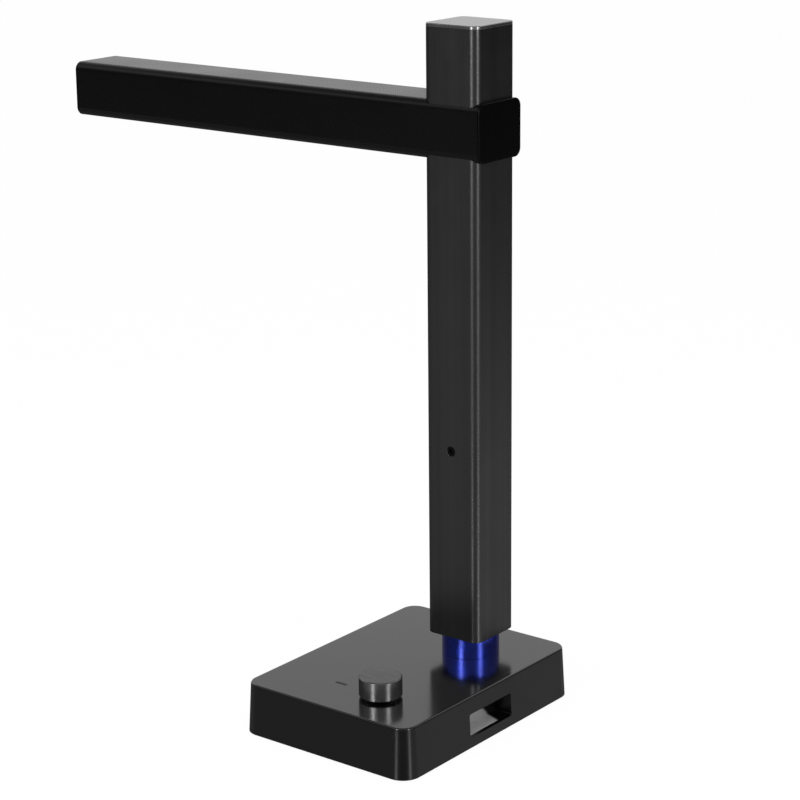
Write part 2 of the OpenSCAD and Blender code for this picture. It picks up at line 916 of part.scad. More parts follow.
module column_tube() {
  color([0.14, 0.14, 0.145])
    difference() {
      at_column()
        slab(column_side, column_side, column_r, foot_z, tube_top);
      at_column()
        slab(2 * column_in, 2 * column_in, column_in_r, foot_z - over, tube_top + over);
      translate([column_x, column_y - column_half, (slot_z0 + slot_z1) / 2])
        rotate([90, 0, 0])
          linear_extrude(height = 4 * column_wall, center = true)
            rounded_rect(slot_w, slot_z1 - slot_z0, slot_r);
      translate([column_x + column_half - column_wall - over, column_y, stop_z])
        rotate([0, 90, 0])
          cylinder(r = stop_hole_r + fit_gap, h = column_wall + 2 * over);
      at_foot_screws()
        countersunk_hole(foot_screw_r, screw_head_r, screw_head_h, column_wall);
    }
}

module column_cap() {
  skirt_half = column_in - 2 * fit_gap;
  color([0.5, 0.5, 0.5])
    at_column()
      union() {
        profiled_slab(column_side, column_side, column_r,
          [[column_r, tube_top], [column_r, column_top - cap_bevel],
            [column_r - cap_bevel, column_top]]);
        difference() {
          slab(2 * skirt_half, 2 * skirt_half, column_in_r, tube_top - skirt_h, tube_top + cap_t / 2);
          slab(2 * (skirt_half - skirt_t), 2 * (skirt_half - skirt_t), column_in_r - skirt_t / 2,
            tube_top - skirt_h - over, tube_top);
        }
      }
}

// Block inside the column, under the guide key's lowest place
module stop_block() {
  half = column_in - fit_gap;
  color([0.85, 0.83, 0.76])
    difference() {
      at_column()
        slab(2 * half, 2 * half, column_in_r, stop_z - stop_half, stop_top);
      at_column()
        translate([0, 0, stop_z - stop_half - over])
          cylinder(r = spindle_r - spindle_wall, h = 2 * (stop_half + over));
      translate([column_x + column_in - foot_screw_l, column_y, stop_z])
        rotate([0, 90, 0])
          cylinder(r = screw_r + fit_gap, h = foot_screw_l + over);
    }
}

module stop_screw() {
  head = column_wall - stop_head_drop;
  color([0.03, 0.03, 0.03])
    translate([column_x + column_in, column_y, stop_z])
      rotate([0, 90, 0])
        difference() {
          union() {
            cylinder(r = stop_hole_r, h = head);
            translate([0, 0, fit_gap - foot_screw_l])
              cylinder(r = screw_r, h = foot_screw_l);
          }
          translate([0, 0, head / 4])
            cylinder(r = screw_r, h = head + over, $fn = 6);
        }
}

// Prism along the arm between two places
module arm_prism(w, h, r, y0, y1) {
  translate([column_x, y1, arm_mid])
    rotate([90, 0, 0])
      linear_extrude(height = y1 - y0)
        rounded_rect(w, h, r);
}

module arm_shell() {
  color([0.07, 0.07, 0.075])
    difference() {
      arm_prism(arm_w, arm_h, arm_r, arm_y0 + end_cap_t, arm_y1 - end_cap_t);
      arm_prism(arm_in_w, arm_in_h, arm_in_r, arm_y0 - over, arm_y1 + over);
      at_column()
        slab(arm_in_w, arm_in_w, arm_hole_r, arm_z - over, arm_top + over);
      translate([column_x, lens_y, arm_z - over])
        cylinder(r = bezel_r - bezel_rim + fit_gap, h = arm_flat_wall + 2 * over);
      translate([column_x, light_y, 0])
        slab(light_w, light_l, light_w / 6, arm_z - over, arm_floor + over);
      at_guide_screws()
        countersunk_hole(guide_screw_r, guide_screw_head_r, screw_head_h, arm_flat_wall);
    }
}

// Plate that closes an end of the arm, with a plug inside the shell; it is
// drawn with its outer face at zero and turned to its end
module arm_cap_plate(plug) {
  step = cap_edge / 2;
  union() {
    linear_extrude(height = end_cap_t)
      rounded_rect(arm_w - 2 * cap_edge, arm_h - 2 * cap_edge, arm_r - cap_edge);
    translate([0, 0, step])
      linear_extrude(height = end_cap_t - step)
        rounded_rect(arm_w - cap_edge, arm_h - cap_edge, arm_r - step);
    translate([0, 0, cap_edge])
      linear_extrude(height = end_cap_t - cap_edge)
        rounded_rect(arm_w, arm_h, arm_r);
    translate([0, 0, end_cap_t / 2])
      difference() {
        linear_extrude(height = end_cap_t / 2 + plug)
          rounded_rect(arm_in_w - 2 * fit_gap, arm_in_h - 2 * fit_gap, arm_in_r - fit_gap);
        translate([0, 0, end_cap_t / 2])
          linear_extrude(height = plug + over)
            rounded_rect(arm_in_w - 2 * plug_wall, arm_in_h - 2 * plug_wall, arm_in_r - plug_wall / 2);
      }
  }
}

module arm_cap_front() {
  color([0.05, 0.05, 0.05])
    translate([column_x, arm_y0, arm_mid])
      rotate([-90, 0, 0])
        arm_cap_plate(plug_l);
}

module arm_cap_rear() {
  color([0.05, 0.05, 0.05])
    difference() {
      translate([column_x, arm_y1, arm_mid])
        rotate([90, 0, 0])
          arm_cap_plate(arm_tail - end_cap_t);
      at_column()
        slab(arm_in_w, column_side + 2 * move_gap, column_r, arm_z - over, arm_top + over);
    }
}

// The block that guides the arm in front of the column, with the key that runs
// in the column's slot
guide_y1 = column_y - column_half - move_gap;
guide_y0 = guide_y1 - guide_l;

module at_guide_screws() {
  for (x = [-1, 1])
    translate([column_x + x * arm_in_w / 4, guide_y0 + guide_l / 3, arm_z])
      children();
}

module at_friction_pads() {
  for (x = [-1, 1])
    translate([column_x + x * (slot_w / 2 + pad_side), guide_y1, arm_mid])
      children();
}

module guide_block() {
  color([0.85, 0.83, 0.76])
    difference() {
      union() {
        difference() {
          arm_prism(arm_in_w - 2 * guide_gap, arm_in_h - 2 * fit_gap, arm_in_r - guide_gap,
            guide_y0, guide_y1);
          translate([column_x, guide_y0 + guide_l / 3, arm_mid])
            cube([arm_in_w / 2, guide_l, arm_in_h / 3], center = true);
        }
        translate([column_x - key_w / 2, guide_y1 - over, arm_mid - key_h / 2])
          cube([key_w, over + move_gap + column_wall + key_past, key_h]);
      }
      at_guide_screws()
        cylinder(r = guide_screw_r + fit_gap, h = guide_screw_l + over);
      at_friction_pads()
        cube([pad_side + 2 * fit_gap, 2 * pad_t, pad_h + 2 * fit_gap], center = true);
    }
}

module friction_pads() {
  color([0.2, 0.2, 0.2])
    at_friction_pads()
      translate([0, -pad_t / 2, 0])
        cube([pad_side, pad_t, pad_h], center = true);
}

// Strip between the column's back and the rear end cap
module rear_glide() {
  y0 = column_y + column_half + move_gap;
  color([0.85, 0.83, 0.76])
    translate([column_x - arm_in_w / 4, y0, arm_mid - arm_in_h / 4])
      cube([arm_in_w / 2, arm_y1 - end_cap_t - y0, arm_in_h / 2]);
}

module guide_screws() {
  color([0.3, 0.3, 0.31])
    at_guide_screws()
      countersunk_screw(guide_screw_r, guide_screw_head_r, screw_head_h, guide_screw_l);
}

module at_lens() {
  translate([column_x, lens_y, 0])
    children();
}

module at_camera_screws() {
  d = camera_board_side / 2 - camera_screw_inset;
  at_lens()
    for (x = [-1, 1], y = [-1, 1])
      translate([x * d, y * d, 0])
        children();
}

module camera_carrier() {
  inside = carrier_side - 2 * carrier_wall;
  color([0.12, 0.12, 0.12])
    difference() {
      union() {
        difference() {
          arm_prism(arm_in_w - 2 * guide_gap, arm_in_h - 2 * fit_gap, arm_in_r - guide_gap,
            lens_y - carrier_side / 2, lens_y + carrier_side / 2);
          at_lens()
            slab(arm_w, 2 * carrier_side, arm_r, camera_board_z, arm_top);
          at_lens()
            slab(inside, inside, arm_in_r / 2, carrier_floor, camera_board_z + over);
        }
        at_camera_screws()
          translate([0, 0, arm_floor + bezel_lip])
            cylinder(r = camera_screw_inset, h = camera_board_z - arm_floor - bezel_lip);
      }
      at_camera_screws()
        translate([0, 0, camera_board_z - camera_screw_l])
          cylinder(r = camera_screw_r + fit_gap, h = camera_screw_l + over);
      at_lens()
        translate([0, 0, arm_floor - over])
          cylinder(r = bezel_r - bezel_rim + 2 * fit_gap, h = carrier_floor - arm_floor + 2 * over);
    }
}

module camera_board() {
  color([0.08, 0.2, 0.12])
    difference() {
      at_lens()
        slab(camera_board_side, camera_board_side, camera_screw_r, camera_board_z,
          camera_board_z + camera_board_t);
      at_camera_screws()
        translate([0, 0, camera_board_z - over])
          cylinder(r = camera_screw_r + fit_gap, h = camera_board_t + 2 * over);
    }
}

module camera_screws() {
  color([0.6, 0.6, 0.62])
    at_camera_screws()
      translate([0, 0, camera_board_z + camera_board_t])
        pan_screw(camera_screw_r, camera_screw_head_r, camera_screw_head_h, camera_screw_l);
}

module image_sensor() {
  color([0.25, 0.22, 0.3])
    at_lens()
      translate([-sensor_side / 2, -sensor_side / 2, camera_board_z - sensor_t])
        cube([sensor_side, sensor_side, sensor_t]);
}

module lens_holder() {
  color([0.06, 0.06, 0.06])
    at_lens()
      difference() {
        slab(holder_side, holder_side, sensor_t, camera_board_z - holder_h, camera_board_z);
        translate([0, 0, camera_board_z - holder_h - over])
          cylinder(r = barrel_r + fit_gap, h = holder_h - sensor_t - move_gap + over);
        translate([0, 0, camera_board_z])
          cube([sensor_side + move_gap, sensor_side + move_gap, 4 * sensor_t], center = true);
      }
}

// Turned barrel with grip steps and a wider front
module lens_barrel() {
  wall = barrel_r / 4;
  front_h = (barrel_top - barrel_z) / 3;
  grip = barrel_r / 12;
  color([0.05, 0.05, 0.05])
    at_lens()
      rotate_extrude()
        polygon([[barrel_r - wall, barrel_z], [barrel_r + wall - grip, barrel_z],
          [barrel_r + wall, barrel_z + grip], [barrel_r + wall, barrel_z + front_h / 3],
          [barrel_r + wall - grip, barrel_z + front_h / 3 + grip],
          [barrel_r + wall - grip, barrel_z + front_h / 2],
          [barrel_r + wall, barrel_z + front_h / 2 + grip],
          [barrel_r + wall, barrel_z + front_h], [barrel_r, barrel_z + front_h],
          [barrel_r, barrel_top], [barrel_r - wall, barrel_top]]);
}

// Two lens elements: a domed front one and a flat rear one
module lens_glass() {
  wall = barrel_r / 4;
  lens_r = barrel_r - wall - fit_gap;
  dome_r = lens_r * dome_share;
  dome_h = dome_r - sqrt(dome_r * dome_r - lens_r * lens_r);
  rim = lens_r / 4;
  color([0.2, 0.25, 0.35])
    at_lens() {
      translate([0, 0, barrel_z + rim])
        rotate_extrude()
          polygon(concat([[0, 2 * rim], [lens_r, 2 * rim]],
            [for (i = [0:dome_steps]) let (x = lens_r * (1 - i / dome_steps))
              [x, rim + dome_r - dome_h - sqrt(dome_r * dome_r - x * x)]]));
      translate([0, 0, barrel_top - 3 * rim])
        cylinder(r = lens_r, h = rim);
    }
}

module lens_bezel() {
  color([0.05, 0.05, 0.05])
    at_lens()
      rotate_extrude()
        polygon([[window_r - bezel_rim, arm_z - bezel_drop / 2], [window_r, arm_z - bezel_drop],
          [bezel_r - bezel_drop, arm_z - bezel_drop], [bezel_r, arm_z],
          [bezel_r - bezel_rim, arm_z], [bezel_r - bezel_rim, arm_floor + bezel_lip],
          [window_r + fit_gap, arm_floor + bezel_lip], [window_r + fit_gap, arm_floor],
          [window_r - bezel_rim, arm_floor]]);
}

module lens_window() {
  color([0.1, 0.1, 0.12])
    at_lens()
      translate([0, 0, arm_floor])
        cylinder(r = window_r, h = window_t);
}

module light_board() {
  z0 = arm_floor + light_rail_h;
  color([0.85, 0.85, 0.85])
    translate([column_x, light_y, 0])
      slab(light_w + 2 * light_flange, light_l + 2 * light_flange, light_flange, z0, z0 + light_board_t);
}

module light_chips() {
  pitch = light_l / light_count;
  color([0.95, 0.9, 0.6])
    for (i = [0:light_count - 1])
      translate([column_x - light_side / 2, light_y - light_l / 2 + (i + 0.5) * pitch - light_side / 2,
        arm_floor + light_rail_h - light_t])
        cube([light_side, light_side, light_t]);
}

module light_diffuser() {
  color([0.9, 0.9, 0.9])
    translate([column_x, light_y, 0])
      union() {
        slab(light_w - 2 * fit_gap, light_l - 2 * fit_gap, light_w / 6 - fit_gap, arm_z,
          arm_floor + light_rail / 2);
        slab(light_w + 2 * light_flange, light_l + 2 * light_flange, light_flange,
          arm_floor, arm_floor + light_rail);
        difference() {
          slab(light_w + 2 * light_flange, light_l + 2 * light_flange, light_flange,
            arm_floor, arm_floor + light_rail_h);
          slab(light_w, light_l, light_flange, arm_floor - over, arm_floor + light_rail_h + over);
        }
      }
}

base_cover();
base_plate();
rubber_pad();
plate_screws();
ballast_weight();
ballast_screws();
port_panel();
usb_socket();
control_board();
board_chips();
board_screws();
indicator_lens();
indicator_led();
encoder_body();
encoder_plunger();
knob_shaft();
knob_insert();
knob_cap();
swivel_hub();
hub_screws();
swivel_bushes();
thrust_washer();
collar_ring();
swivel_spindle();
spring_washer();
spindle_nut();
column_foot();
foot_screws();
column_tube();
column_cap();
stop_block();
stop_screw();
arm_shell();
arm_cap_front();
arm_cap_rear();
guide_block();
friction_pads();
rear_glide();
guide_screws();
camera_carrier();
camera_board();
camera_screws();
image_sensor();
lens_holder();
lens_barrel();
lens_glass();
lens_bezel();
lens_window();
light_board();
light_chips();
light_diffuser();
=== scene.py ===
import math
from functools import wraps

import bmesh
import bpy
from bpy.props import FloatProperty, FloatVectorProperty, PointerProperty
from mathutils import Matrix, Vector


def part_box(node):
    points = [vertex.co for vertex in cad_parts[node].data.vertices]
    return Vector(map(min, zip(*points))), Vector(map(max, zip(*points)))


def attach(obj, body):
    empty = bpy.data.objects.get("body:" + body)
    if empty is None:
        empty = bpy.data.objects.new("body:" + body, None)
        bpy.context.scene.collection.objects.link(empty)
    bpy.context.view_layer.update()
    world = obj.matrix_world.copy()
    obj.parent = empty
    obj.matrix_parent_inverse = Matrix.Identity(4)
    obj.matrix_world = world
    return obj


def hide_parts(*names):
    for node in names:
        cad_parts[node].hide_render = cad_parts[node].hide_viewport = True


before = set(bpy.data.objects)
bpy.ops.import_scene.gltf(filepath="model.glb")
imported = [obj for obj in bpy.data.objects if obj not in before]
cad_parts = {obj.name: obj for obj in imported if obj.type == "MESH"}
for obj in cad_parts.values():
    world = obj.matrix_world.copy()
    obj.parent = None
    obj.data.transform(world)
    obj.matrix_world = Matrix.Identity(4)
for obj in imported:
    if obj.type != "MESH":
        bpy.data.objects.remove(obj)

bl_info = {
    "name": "Overhead scanner",
    "version": (1, 0, 0),
    "blender": (4, 5, 0),
    "location": "3D View > Sidebar > Scanner",
    "description": "Moulded, drawn and turned pieces of an overhead document scanner, with finishes",
    "category": "Object",
}

MM = 0.001
X, Y, Z = 0, 1, 2
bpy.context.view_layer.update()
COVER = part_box("base_cover")
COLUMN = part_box("column_tube")
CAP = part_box("column_cap")
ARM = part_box("arm_shell")
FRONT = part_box("arm_cap_front")
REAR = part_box("arm_cap_rear")
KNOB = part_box("knob_cap")
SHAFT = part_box("knob_shaft")
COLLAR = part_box("collar_ring")
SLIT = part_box("indicator_lens")
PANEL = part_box("port_panel")
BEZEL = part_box("lens_bezel")
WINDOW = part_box("lens_window")
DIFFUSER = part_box("light_diffuser")
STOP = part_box("stop_screw")
STOP_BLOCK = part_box("stop_block")
FOOT_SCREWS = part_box("foot_screws")
GUIDE_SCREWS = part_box("guide_screws")
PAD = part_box("rubber_pad")

# How far a cutting tool reaches past what it cuts, and the gap between two pieces that fit together
OVERRUN = 2 * MM
FIT = 0.05 * MM
# Levels closer than TOUCH are the same level, points closer than MERGE become one, and an edge runs
# along an axis when more than ALONG of it does
TOUCH = 1e-6
MERGE = 1e-7
ALONG = 0.999

# Radii of the round holes and of the sunk screw heads; how deep the foot screws sit in the column, and
# the guide screws in the arm's lower wall, as a share of it
COLLAR_BORE = 12.9 * MM
SHAFT_HOLE = 4 * MM
STOP_HOLE = 2.55 * MM
LENS_HOLE = 9.85 * MM
HEAD = 2.8 * MM
FOOT_SEAT = 1.4 * MM
GUIDE_SEAT = 0.98

# The light slit in the base: half its width, its corners, how much shorter it is than the lens at
# each end, and how deep the window sits
SLIT_HALF = 0.95 * MM
SLIT_CORNER = 0.94 * MM
SLIT_END = 0.9 * MM
SLIT_SINK = 0.06 * MM

# The tray in the recess, with painted light and shadow: its painted arch of light, with the middle's
# place from the recess's end and below its floor, the radii where it starts and stops fading, and how
# pale it is; then where the painted light on the floor ends in painted shadow at the back plate, how
# much nearer it ends for each metre forward, and how soft that end is
ARCH_ALONG = 15.5 * MM
ARCH_DROP = 8 * MM
ARCH_RADII = (14.4 * MM, 16 * MM)
ARCH_LIGHT = 0.6
FLOOR_REACH = 28.8 * MM
FLOOR_SLANT = 0.4
FLOOR_BLUR = 0.8 * MM

# The rubber pad's corners and lower edge, and the collar's upper edge
PAD_CORNER = 8 * MM
PAD_EDGE = 0.5 * MM
COLLAR_EDGE = 0.5 * MM

# The column cap's plug: its gap to the tube, and how far it goes into the plate above
PLUG_GAP = 0.1 * MM
PLUG_ROOT = 0.4 * MM

# The opening of the arm's light: half its sides and its corners; then the height of the light cover's
# flange over the arm's lower face, the flange's thickness and corners, and the cover's overlap with it
LIGHT_HALF = (6 * MM, 60 * MM)
LIGHT_CORNER = 2 * MM
FLANGE_RISE = 1.4 * MM
FLANGE_WALL = 1.2 * MM
FLANGE_CORNER = 1.4 * MM
FLANGE_ROOT = 2 * MM

# Radius over which the glass changes its tint, and the width of the steps in the camera's bezel; then
# the knob's dish: its share of the top, and its rings
GLASS_RADIUS = 8 * MM
BEZEL_STEP = 1.2 * MM
DISH_SHARE = 0.86
DISH_RINGS = 8


def middle(box):
    """Centre of a pair of corners."""
    return (box[0] + box[1]) / 2


def size_of(box):
    """Edge lengths of a pair of corners."""
    return box[1] - box[0]


def amount(name, text, default, **limits):
    """A number, not below 0, that a user may change."""
    return FloatProperty(name=name, description=text, default=default, min=0.0, **limits)


def length(name, text, default):
    """A length that a user may change."""
    return amount(name, text, default, unit="LENGTH", precision=5)


def colour(name, text, default):
    """A colour that a user may change."""
    return FloatVectorProperty(
        name=name, description=text, default=default, size=3, min=0.0, max=1.0, subtype="COLOR"
    )


class ScannerBaseSettings(bpy.types.PropertyGroup):
    """Sizes and colours of the moulded base."""

    draft: length("Draft", "How far each side leans out from top to bottom", 1.4 * MM)
    corner: length("Corner radius", "Radius of the upright corners at the top", 8 * MM)
    brow: length("Edge radius", "Rounding of the upper edge", 0.9 * MM)
    wall: length("Wall", "Wall thickness of the cover", 2.2 * MM)
    recess_width: length("Recess width", "Width of the socket recess", 34.6 * MM)
    recess_height: length("Recess height", "Height of the socket recess", 12 * MM)
    recess_corner: length("Recess corner", "Corner radius of the socket recess", 1.2 * MM)
    recess_depth: length("Recess depth", "Depth of the socket recess", 9.5 * MM)
    tray: length("Tray", "Thickness of the tray's floor plate in the recess", 0.8 * MM)
    cover_colour: colour("Cover", "Colour of the moulded cover", (0.003, 0.003, 0.0032))
    panel_colour: colour("Panel", "Colour of the panel in the recess", (0.78, 0.78, 0.785))
    collar_colour: colour("Collar", "Colour of the anodised collar", (0.001, 0.042, 0.76))


class ScannerColumnSettings(bpy.types.PropertyGroup):
    """Sizes and colours of the column."""

    corner: length("Corner radius", "Radius of the column's upright edges", 4.4 * MM)
    wall: length("Wall", "Wall thickness of the column", 1.6 * MM)
    slot_width: length("Slot width", "Width of the guide slot", 7 * MM)
    slot_high: length("Slot end", "Height at which the guide slot ends", 332.95 * MM)
    cap_bevel: length("Cap bevel", "Bevel round the cap's upper edge", 0.5 * MM)
    metal_colour: colour("Column", "Colour of the anodised column", (0.13, 0.13, 0.132))
    cap_colour: colour("Cap", "Colour of the cap", (0.52, 0.52, 0.522))


class ScannerArmSettings(bpy.types.PropertyGroup):
    """Sizes and colours of the arm."""

    edge: length("Edge radius", "Radius of the arm's long edges", 4.4 * MM)
    side_wall: length("Side wall", "Thickness of the side walls", 0.75 * MM)
    flat_wall: length("Flat wall", "Thickness of the upper and lower walls", 1.4 * MM)
    gap: length("Gap", "Gap between the column and the arm's side walls", 0.3 * MM)
    lip: length("End edge", "Rounding of the end caps' outer edge", 0.4 * MM)
    paint_colour: colour("Arm", "Colour of the arm", (0.002, 0.002, 0.0021))


class ScannerKnobSettings(bpy.types.PropertyGroup):
    """Sizes and colours of the knob."""

    wall: length("Wall", "Wall thickness of the knob's cap", 1.4 * MM)
    roof: length("Roof", "Thickness of the knob's top", 1.8 * MM)
    brow: length("Edge", "Bevel of the knob's upper edge", 0.5 * MM)
    dish: length("Dish", "Depth of the shallow dish in the top", 0.3 * MM)
    metal_colour: colour("Knob", "Colour of the turned knob", (0.29, 0.29, 0.292))


class ScannerStudioSettings(bpy.types.PropertyGroup):
    """Light and background."""

    world: amount("World", "Strength of the light from all round", 0.4)
    strip: amount("Strips", "Brightness of the upright strip lights", 5.5)
    strip_width: length("Strip width", "Width of each upright strip light", 0.14)
    overhead: amount("Overhead", "Power of the light above", 3.0, unit="POWER")
    floor: amount("Floor", "How white the floor shows", 0.88, max=1.0, subtype="FACTOR")


def maths(operation, swapped=False):
    """A method of Wire that works on two values with a Math node."""

    def act(self, other):
        first, second = (other, self) if swapped else (self, other)
        return self.bench.node("ShaderNodeMath", {"operation": operation}, {0: first, 1: second})

    return act


class Wire:
    """A value on its way through a material; arithmetic on it adds Math nodes."""

    def __init__(self, bench, socket):
        self.bench = bench
        self.socket = socket

    __add__ = maths("ADD")
    __radd__ = maths("ADD", True)
    __sub__ = maths("SUBTRACT")
    __rsub__ = maths("SUBTRACT", True)
    __mul__ = maths("MULTIPLY")
    __truediv__ = maths("DIVIDE")
    __pow__ = maths("POWER")
    most = maths("MAXIMUM")

    def between(self, low, high):
        """0 below low, 1 above high and straight between."""
        settings = {"interpolation_type": "LINEAR", "clamp": True}
        inputs = {0: self, 1: low, 2: high, 3: 0.0, 4: 1.0}
        return self.bench.node("ShaderNodeMapRange", settings, inputs)


class Bench:
    """The node tree of a material or of the world."""

    def __init__(self, owner):
        owner.use_nodes = True
        self.owner = owner
        self.tree = owner.node_tree
        self.tree.nodes.clear()

    def node(self, kind, settings=None, inputs=None, output=0):
        """A node with its settings, and inputs that are numbers or wires; gives one output."""
        made = self.tree.nodes.new(kind)
        for key, value in (settings or {}).items():
            if key == "stops":
                ramp = made.color_ramp
                while len(ramp.elements) < len(value):
                    ramp.elements.new(0.5)
                for stop, (place, tone) in zip(ramp.elements, value):
                    stop.position = place
                    stop.color = tone
            else:
                setattr(made, key, value)
        for key, value in (inputs or {}).items():
            if isinstance(value, Wire):
                self.tree.links.new(value.socket, made.inputs[key])
            else:
                made.inputs[key].default_value = value
        return Wire(self, made.outputs[output])

    def place(self, scale=(1, 1, 1), shift=(0, 0, 0), turn=(0, 0, 0)):
        """Object coordinates in metres, moved, turned and scaled."""
        spot = self.node("ShaderNodeTexCoord", output="Object")
        back = [-s for s in shift]
        moved = self.node("ShaderNodeMapping", None, {"Vector": spot, "Location": back})
        values = {"Vector": moved, "Rotation": turn, "Scale": scale}
        return self.node("ShaderNodeMapping", None, values)

    def parts(self, vector):
        """The three numbers of a vector."""
        split = self.node("ShaderNodeSeparateXYZ", None, {0: vector}).socket.node
        return [Wire(self, socket) for socket in split.outputs]

    def ray(self, kind):
        """1 for rays of a kind, 0 for others."""
        return self.node("ShaderNodeLightPath", output=kind)

    def seen(self):
        """1 where the camera looks, straight or through glass, 0 for light and reflections."""
        return self.ray("Is Camera Ray").most(self.ray("Is Transmission Ray"))

    def up(self):
        """How far the surface faces up: 1 flat on top, 0 upright, -1 below."""
        return self.parts(self.node("ShaderNodeNewGeometry", output="Normal"))[Z]

    def noise(self, vector, scale, detail=2.0, rough=0.5):
        """Soft noise about 0.5, with scale in waves a metre."""
        values = {"Vector": vector, "Scale": scale, "Detail": detail, "Roughness": rough}
        return self.node("ShaderNodeTexNoise", None, values)

    def cells(self, vector, scale, feature="F1", random=1.0):
        """Distance from the middle or the edge of scattered cells."""
        values = {"Vector": vector, "Scale": scale, "Randomness": random}
        return self.node("ShaderNodeTexVoronoi", {"feature": feature}, values)

    def blend(self, share, first, second):
        """Colour between two colours."""
        inputs = {0: share, 6: rgba(first), 7: rgba(second)}
        return self.node("ShaderNodeMix", {"data_type": "RGBA"}, inputs, output=2)

    def bump(self, height, strength, distance):
        """Normals for a height, with distance in metres."""
        values = {"Height": height, "Strength": strength, "Distance": distance}
        return self.node("ShaderNodeBump", None, values)

    def surface(self, tone, rough, normal, **others):
        """The finish's shader; underscores stand for spaces in the names of other sockets."""
        inputs = {"Base Color": tone, "Roughness": rough, "Normal": normal}
        inputs.update((key.replace("_", " "), value) for key, value in others.items())
        return self.close(self.node("ShaderNodeBsdfPrincipled", None, inputs))

    def close(self, shader, kind="Material"):
        """Leads a shader to the output and gives the tree's owner."""
        output = self.tree.nodes.new("ShaderNodeOutput" + kind)
        self.tree.links.new(shader.socket, output.inputs["Surface"])
        return self.owner


def rgba(value):
    """A colour with its fourth number, or a wire as it is."""
    if isinstance(value, Wire):
        return value
    return (*tuple(value)[:3], 1.0)


def finish(make):
    """Turns a function that fills a node tree into one that gives a named material, made once."""

    @wraps(make)
    def named(name, *values):
        found = bpy.data.materials.get(name)
        return found or make(Bench(bpy.data.materials.new(name)), *values)

    return named


def shade(value, factor):
    """A colour made lighter or darker."""
    return tuple(min(1.0, c * factor) for c in tuple(value)[:3])


@finish
def gloss_cover(b, value):
    """Mirror-gloss moulded plastic: polished on its top, a little softer on its drafted sides."""
    spot = b.place()
    flat = b.up().between(0.25, 0.75)
    haze = b.noise(spot, 38, 3, 0.55)
    grain = b.noise(spot, 2400, 2, 0.6)
    hairs = b.noise(b.place((900, 60, 300), turn=(0, 0, 0.6)), 1, 2, 0.6)
    scuffs = hairs.between(0.66, 0.74) * haze.between(0.5, 0.62)
    specks = 1 - b.cells(spot, 420).between(0.05, 0.16)
    dust = specks * b.noise(spot, 130, 1).between(0.6, 0.66)
    side = 0.3 + (haze - 0.5) * 0.1 + (grain - 0.5) * 0.06
    top = 0.15 + (haze - 0.5) * 0.05 + dust * 0.2 + scuffs * 0.06
    rough = top * flat + side * (1 - flat)
    tone = b.blend(dust * 0.5, value, shade(value, 6))
    lumps = b.noise(spot, 210, 2, 0.5) * 0.7 + grain * 0.3 + dust * 0.6
    normal = b.bump(lumps, 0.035, 0.0002)
    coat = {"Coat_Weight": flat * 0.95 + 0.05, "Coat_IOR": 2.0, "Coat_Roughness": 0.15}
    return b.surface(tone, rough, normal, IOR=1.5, **coat)


@finish
def anodised(b, value):
    """Dyed anodised aluminium, drawn upright: fine lines, faint streaks of tone, a few pits."""
    lines = b.noise(b.place((5200, 5200, 26)), 1, 3, 0.65)
    streaks = b.noise(b.place((240, 240, 1.6)), 1, 2, 0.5)
    cloud = b.noise(b.place(), 55, 3, 0.6)
    pits = 1 - b.cells(b.place(), 2600).between(0.08, 0.3)
    share = (lines - 0.5) * 0.5 + (streaks - 0.5) * 0.9 + 0.5
    tone = b.blend(share, shade(value, 0.8), shade(value, 1.22))
    roughness = 0.34 + (cloud - 0.5) * 0.1 + (lines - 0.5) * 0.12 + pits * 0.08
    normal = b.bump(lines * 0.8 + pits * 0.2, 0.06, 0.00004)
    tint = (0.75, 0.75, 0.75, 1)
    return b.surface(tone, roughness, normal, Metallic=1.0, Specular_Tint=tint)


@finish
def blasted(b, value):
    """Bead-blasted and dyed metal: tiny even dimples."""
    spot = b.place()
    dimples = b.cells(spot, 3400, "SMOOTH_F1")
    cloud = b.noise(spot, 90, 3, 0.6)
    tone = b.blend(cloud.between(0.3, 0.7), shade(value, 0.85), shade(value, 1.15))
    roughness = 0.28 + (cloud - 0.5) * 0.12 + (dimples - 0.4) * 0.1
    return b.surface(tone, roughness, b.bump(dimples, 0.12, 0.00003), Metallic=1.0)


@finish
def satin_arm(b, value, rough=0.27, ior=1.45):
    """Satin black paint with an even fine texture and a soft unevenness."""
    spot = b.place()
    leather = b.cells(spot, 3000, "SMOOTH_F1")
    orange = b.noise(spot, 700, 2, 0.5)
    haze = b.noise(spot, 24, 3, 0.6)
    specks = 1 - b.cells(spot, 500).between(0.04, 0.12)
    specks = specks * b.noise(spot, 150, 1).between(0.6, 0.68)
    tone = b.blend(specks * 0.5, value, shade(value, 5))
    roughness = rough + (haze - 0.5) * 0.09 + (leather - 0.4) * 0.06 + specks * 0.15
    normal = b.bump(leather * 0.5 + orange * 0.5, 0.08, 0.00005)
    return b.surface(tone, roughness, normal, IOR=ior)


@finish
def dyed_collar(b, value):
    """Turned collar, dyed deep blue under a clear seal: fine rings, a little cloud in the dye."""
    rings = b.noise(b.place((30, 30, 7000)), 1, 2, 0.6)
    cloud = b.noise(b.place(shift=(*middle(COLLAR).xy, 0)), 160, 3, 0.6)
    tone = b.blend(cloud.between(0.3, 0.7), shade(value, 0.8), shade(value, 1.2))
    roughness = 0.3 + (cloud - 0.5) * 0.08 + (rings - 0.5) * 0.08
    normal = b.bump(rings, 0.5, 0.00003)
    seal = {"Coat_Weight": 0.9, "Coat_IOR": 1.75, "Coat_Roughness": 0.23}
    tint = (0.05, 0.05, 0.15, 1)
    return b.surface(tone, roughness, normal, Metallic=1.0, Specular_Tint=tint, **seal)


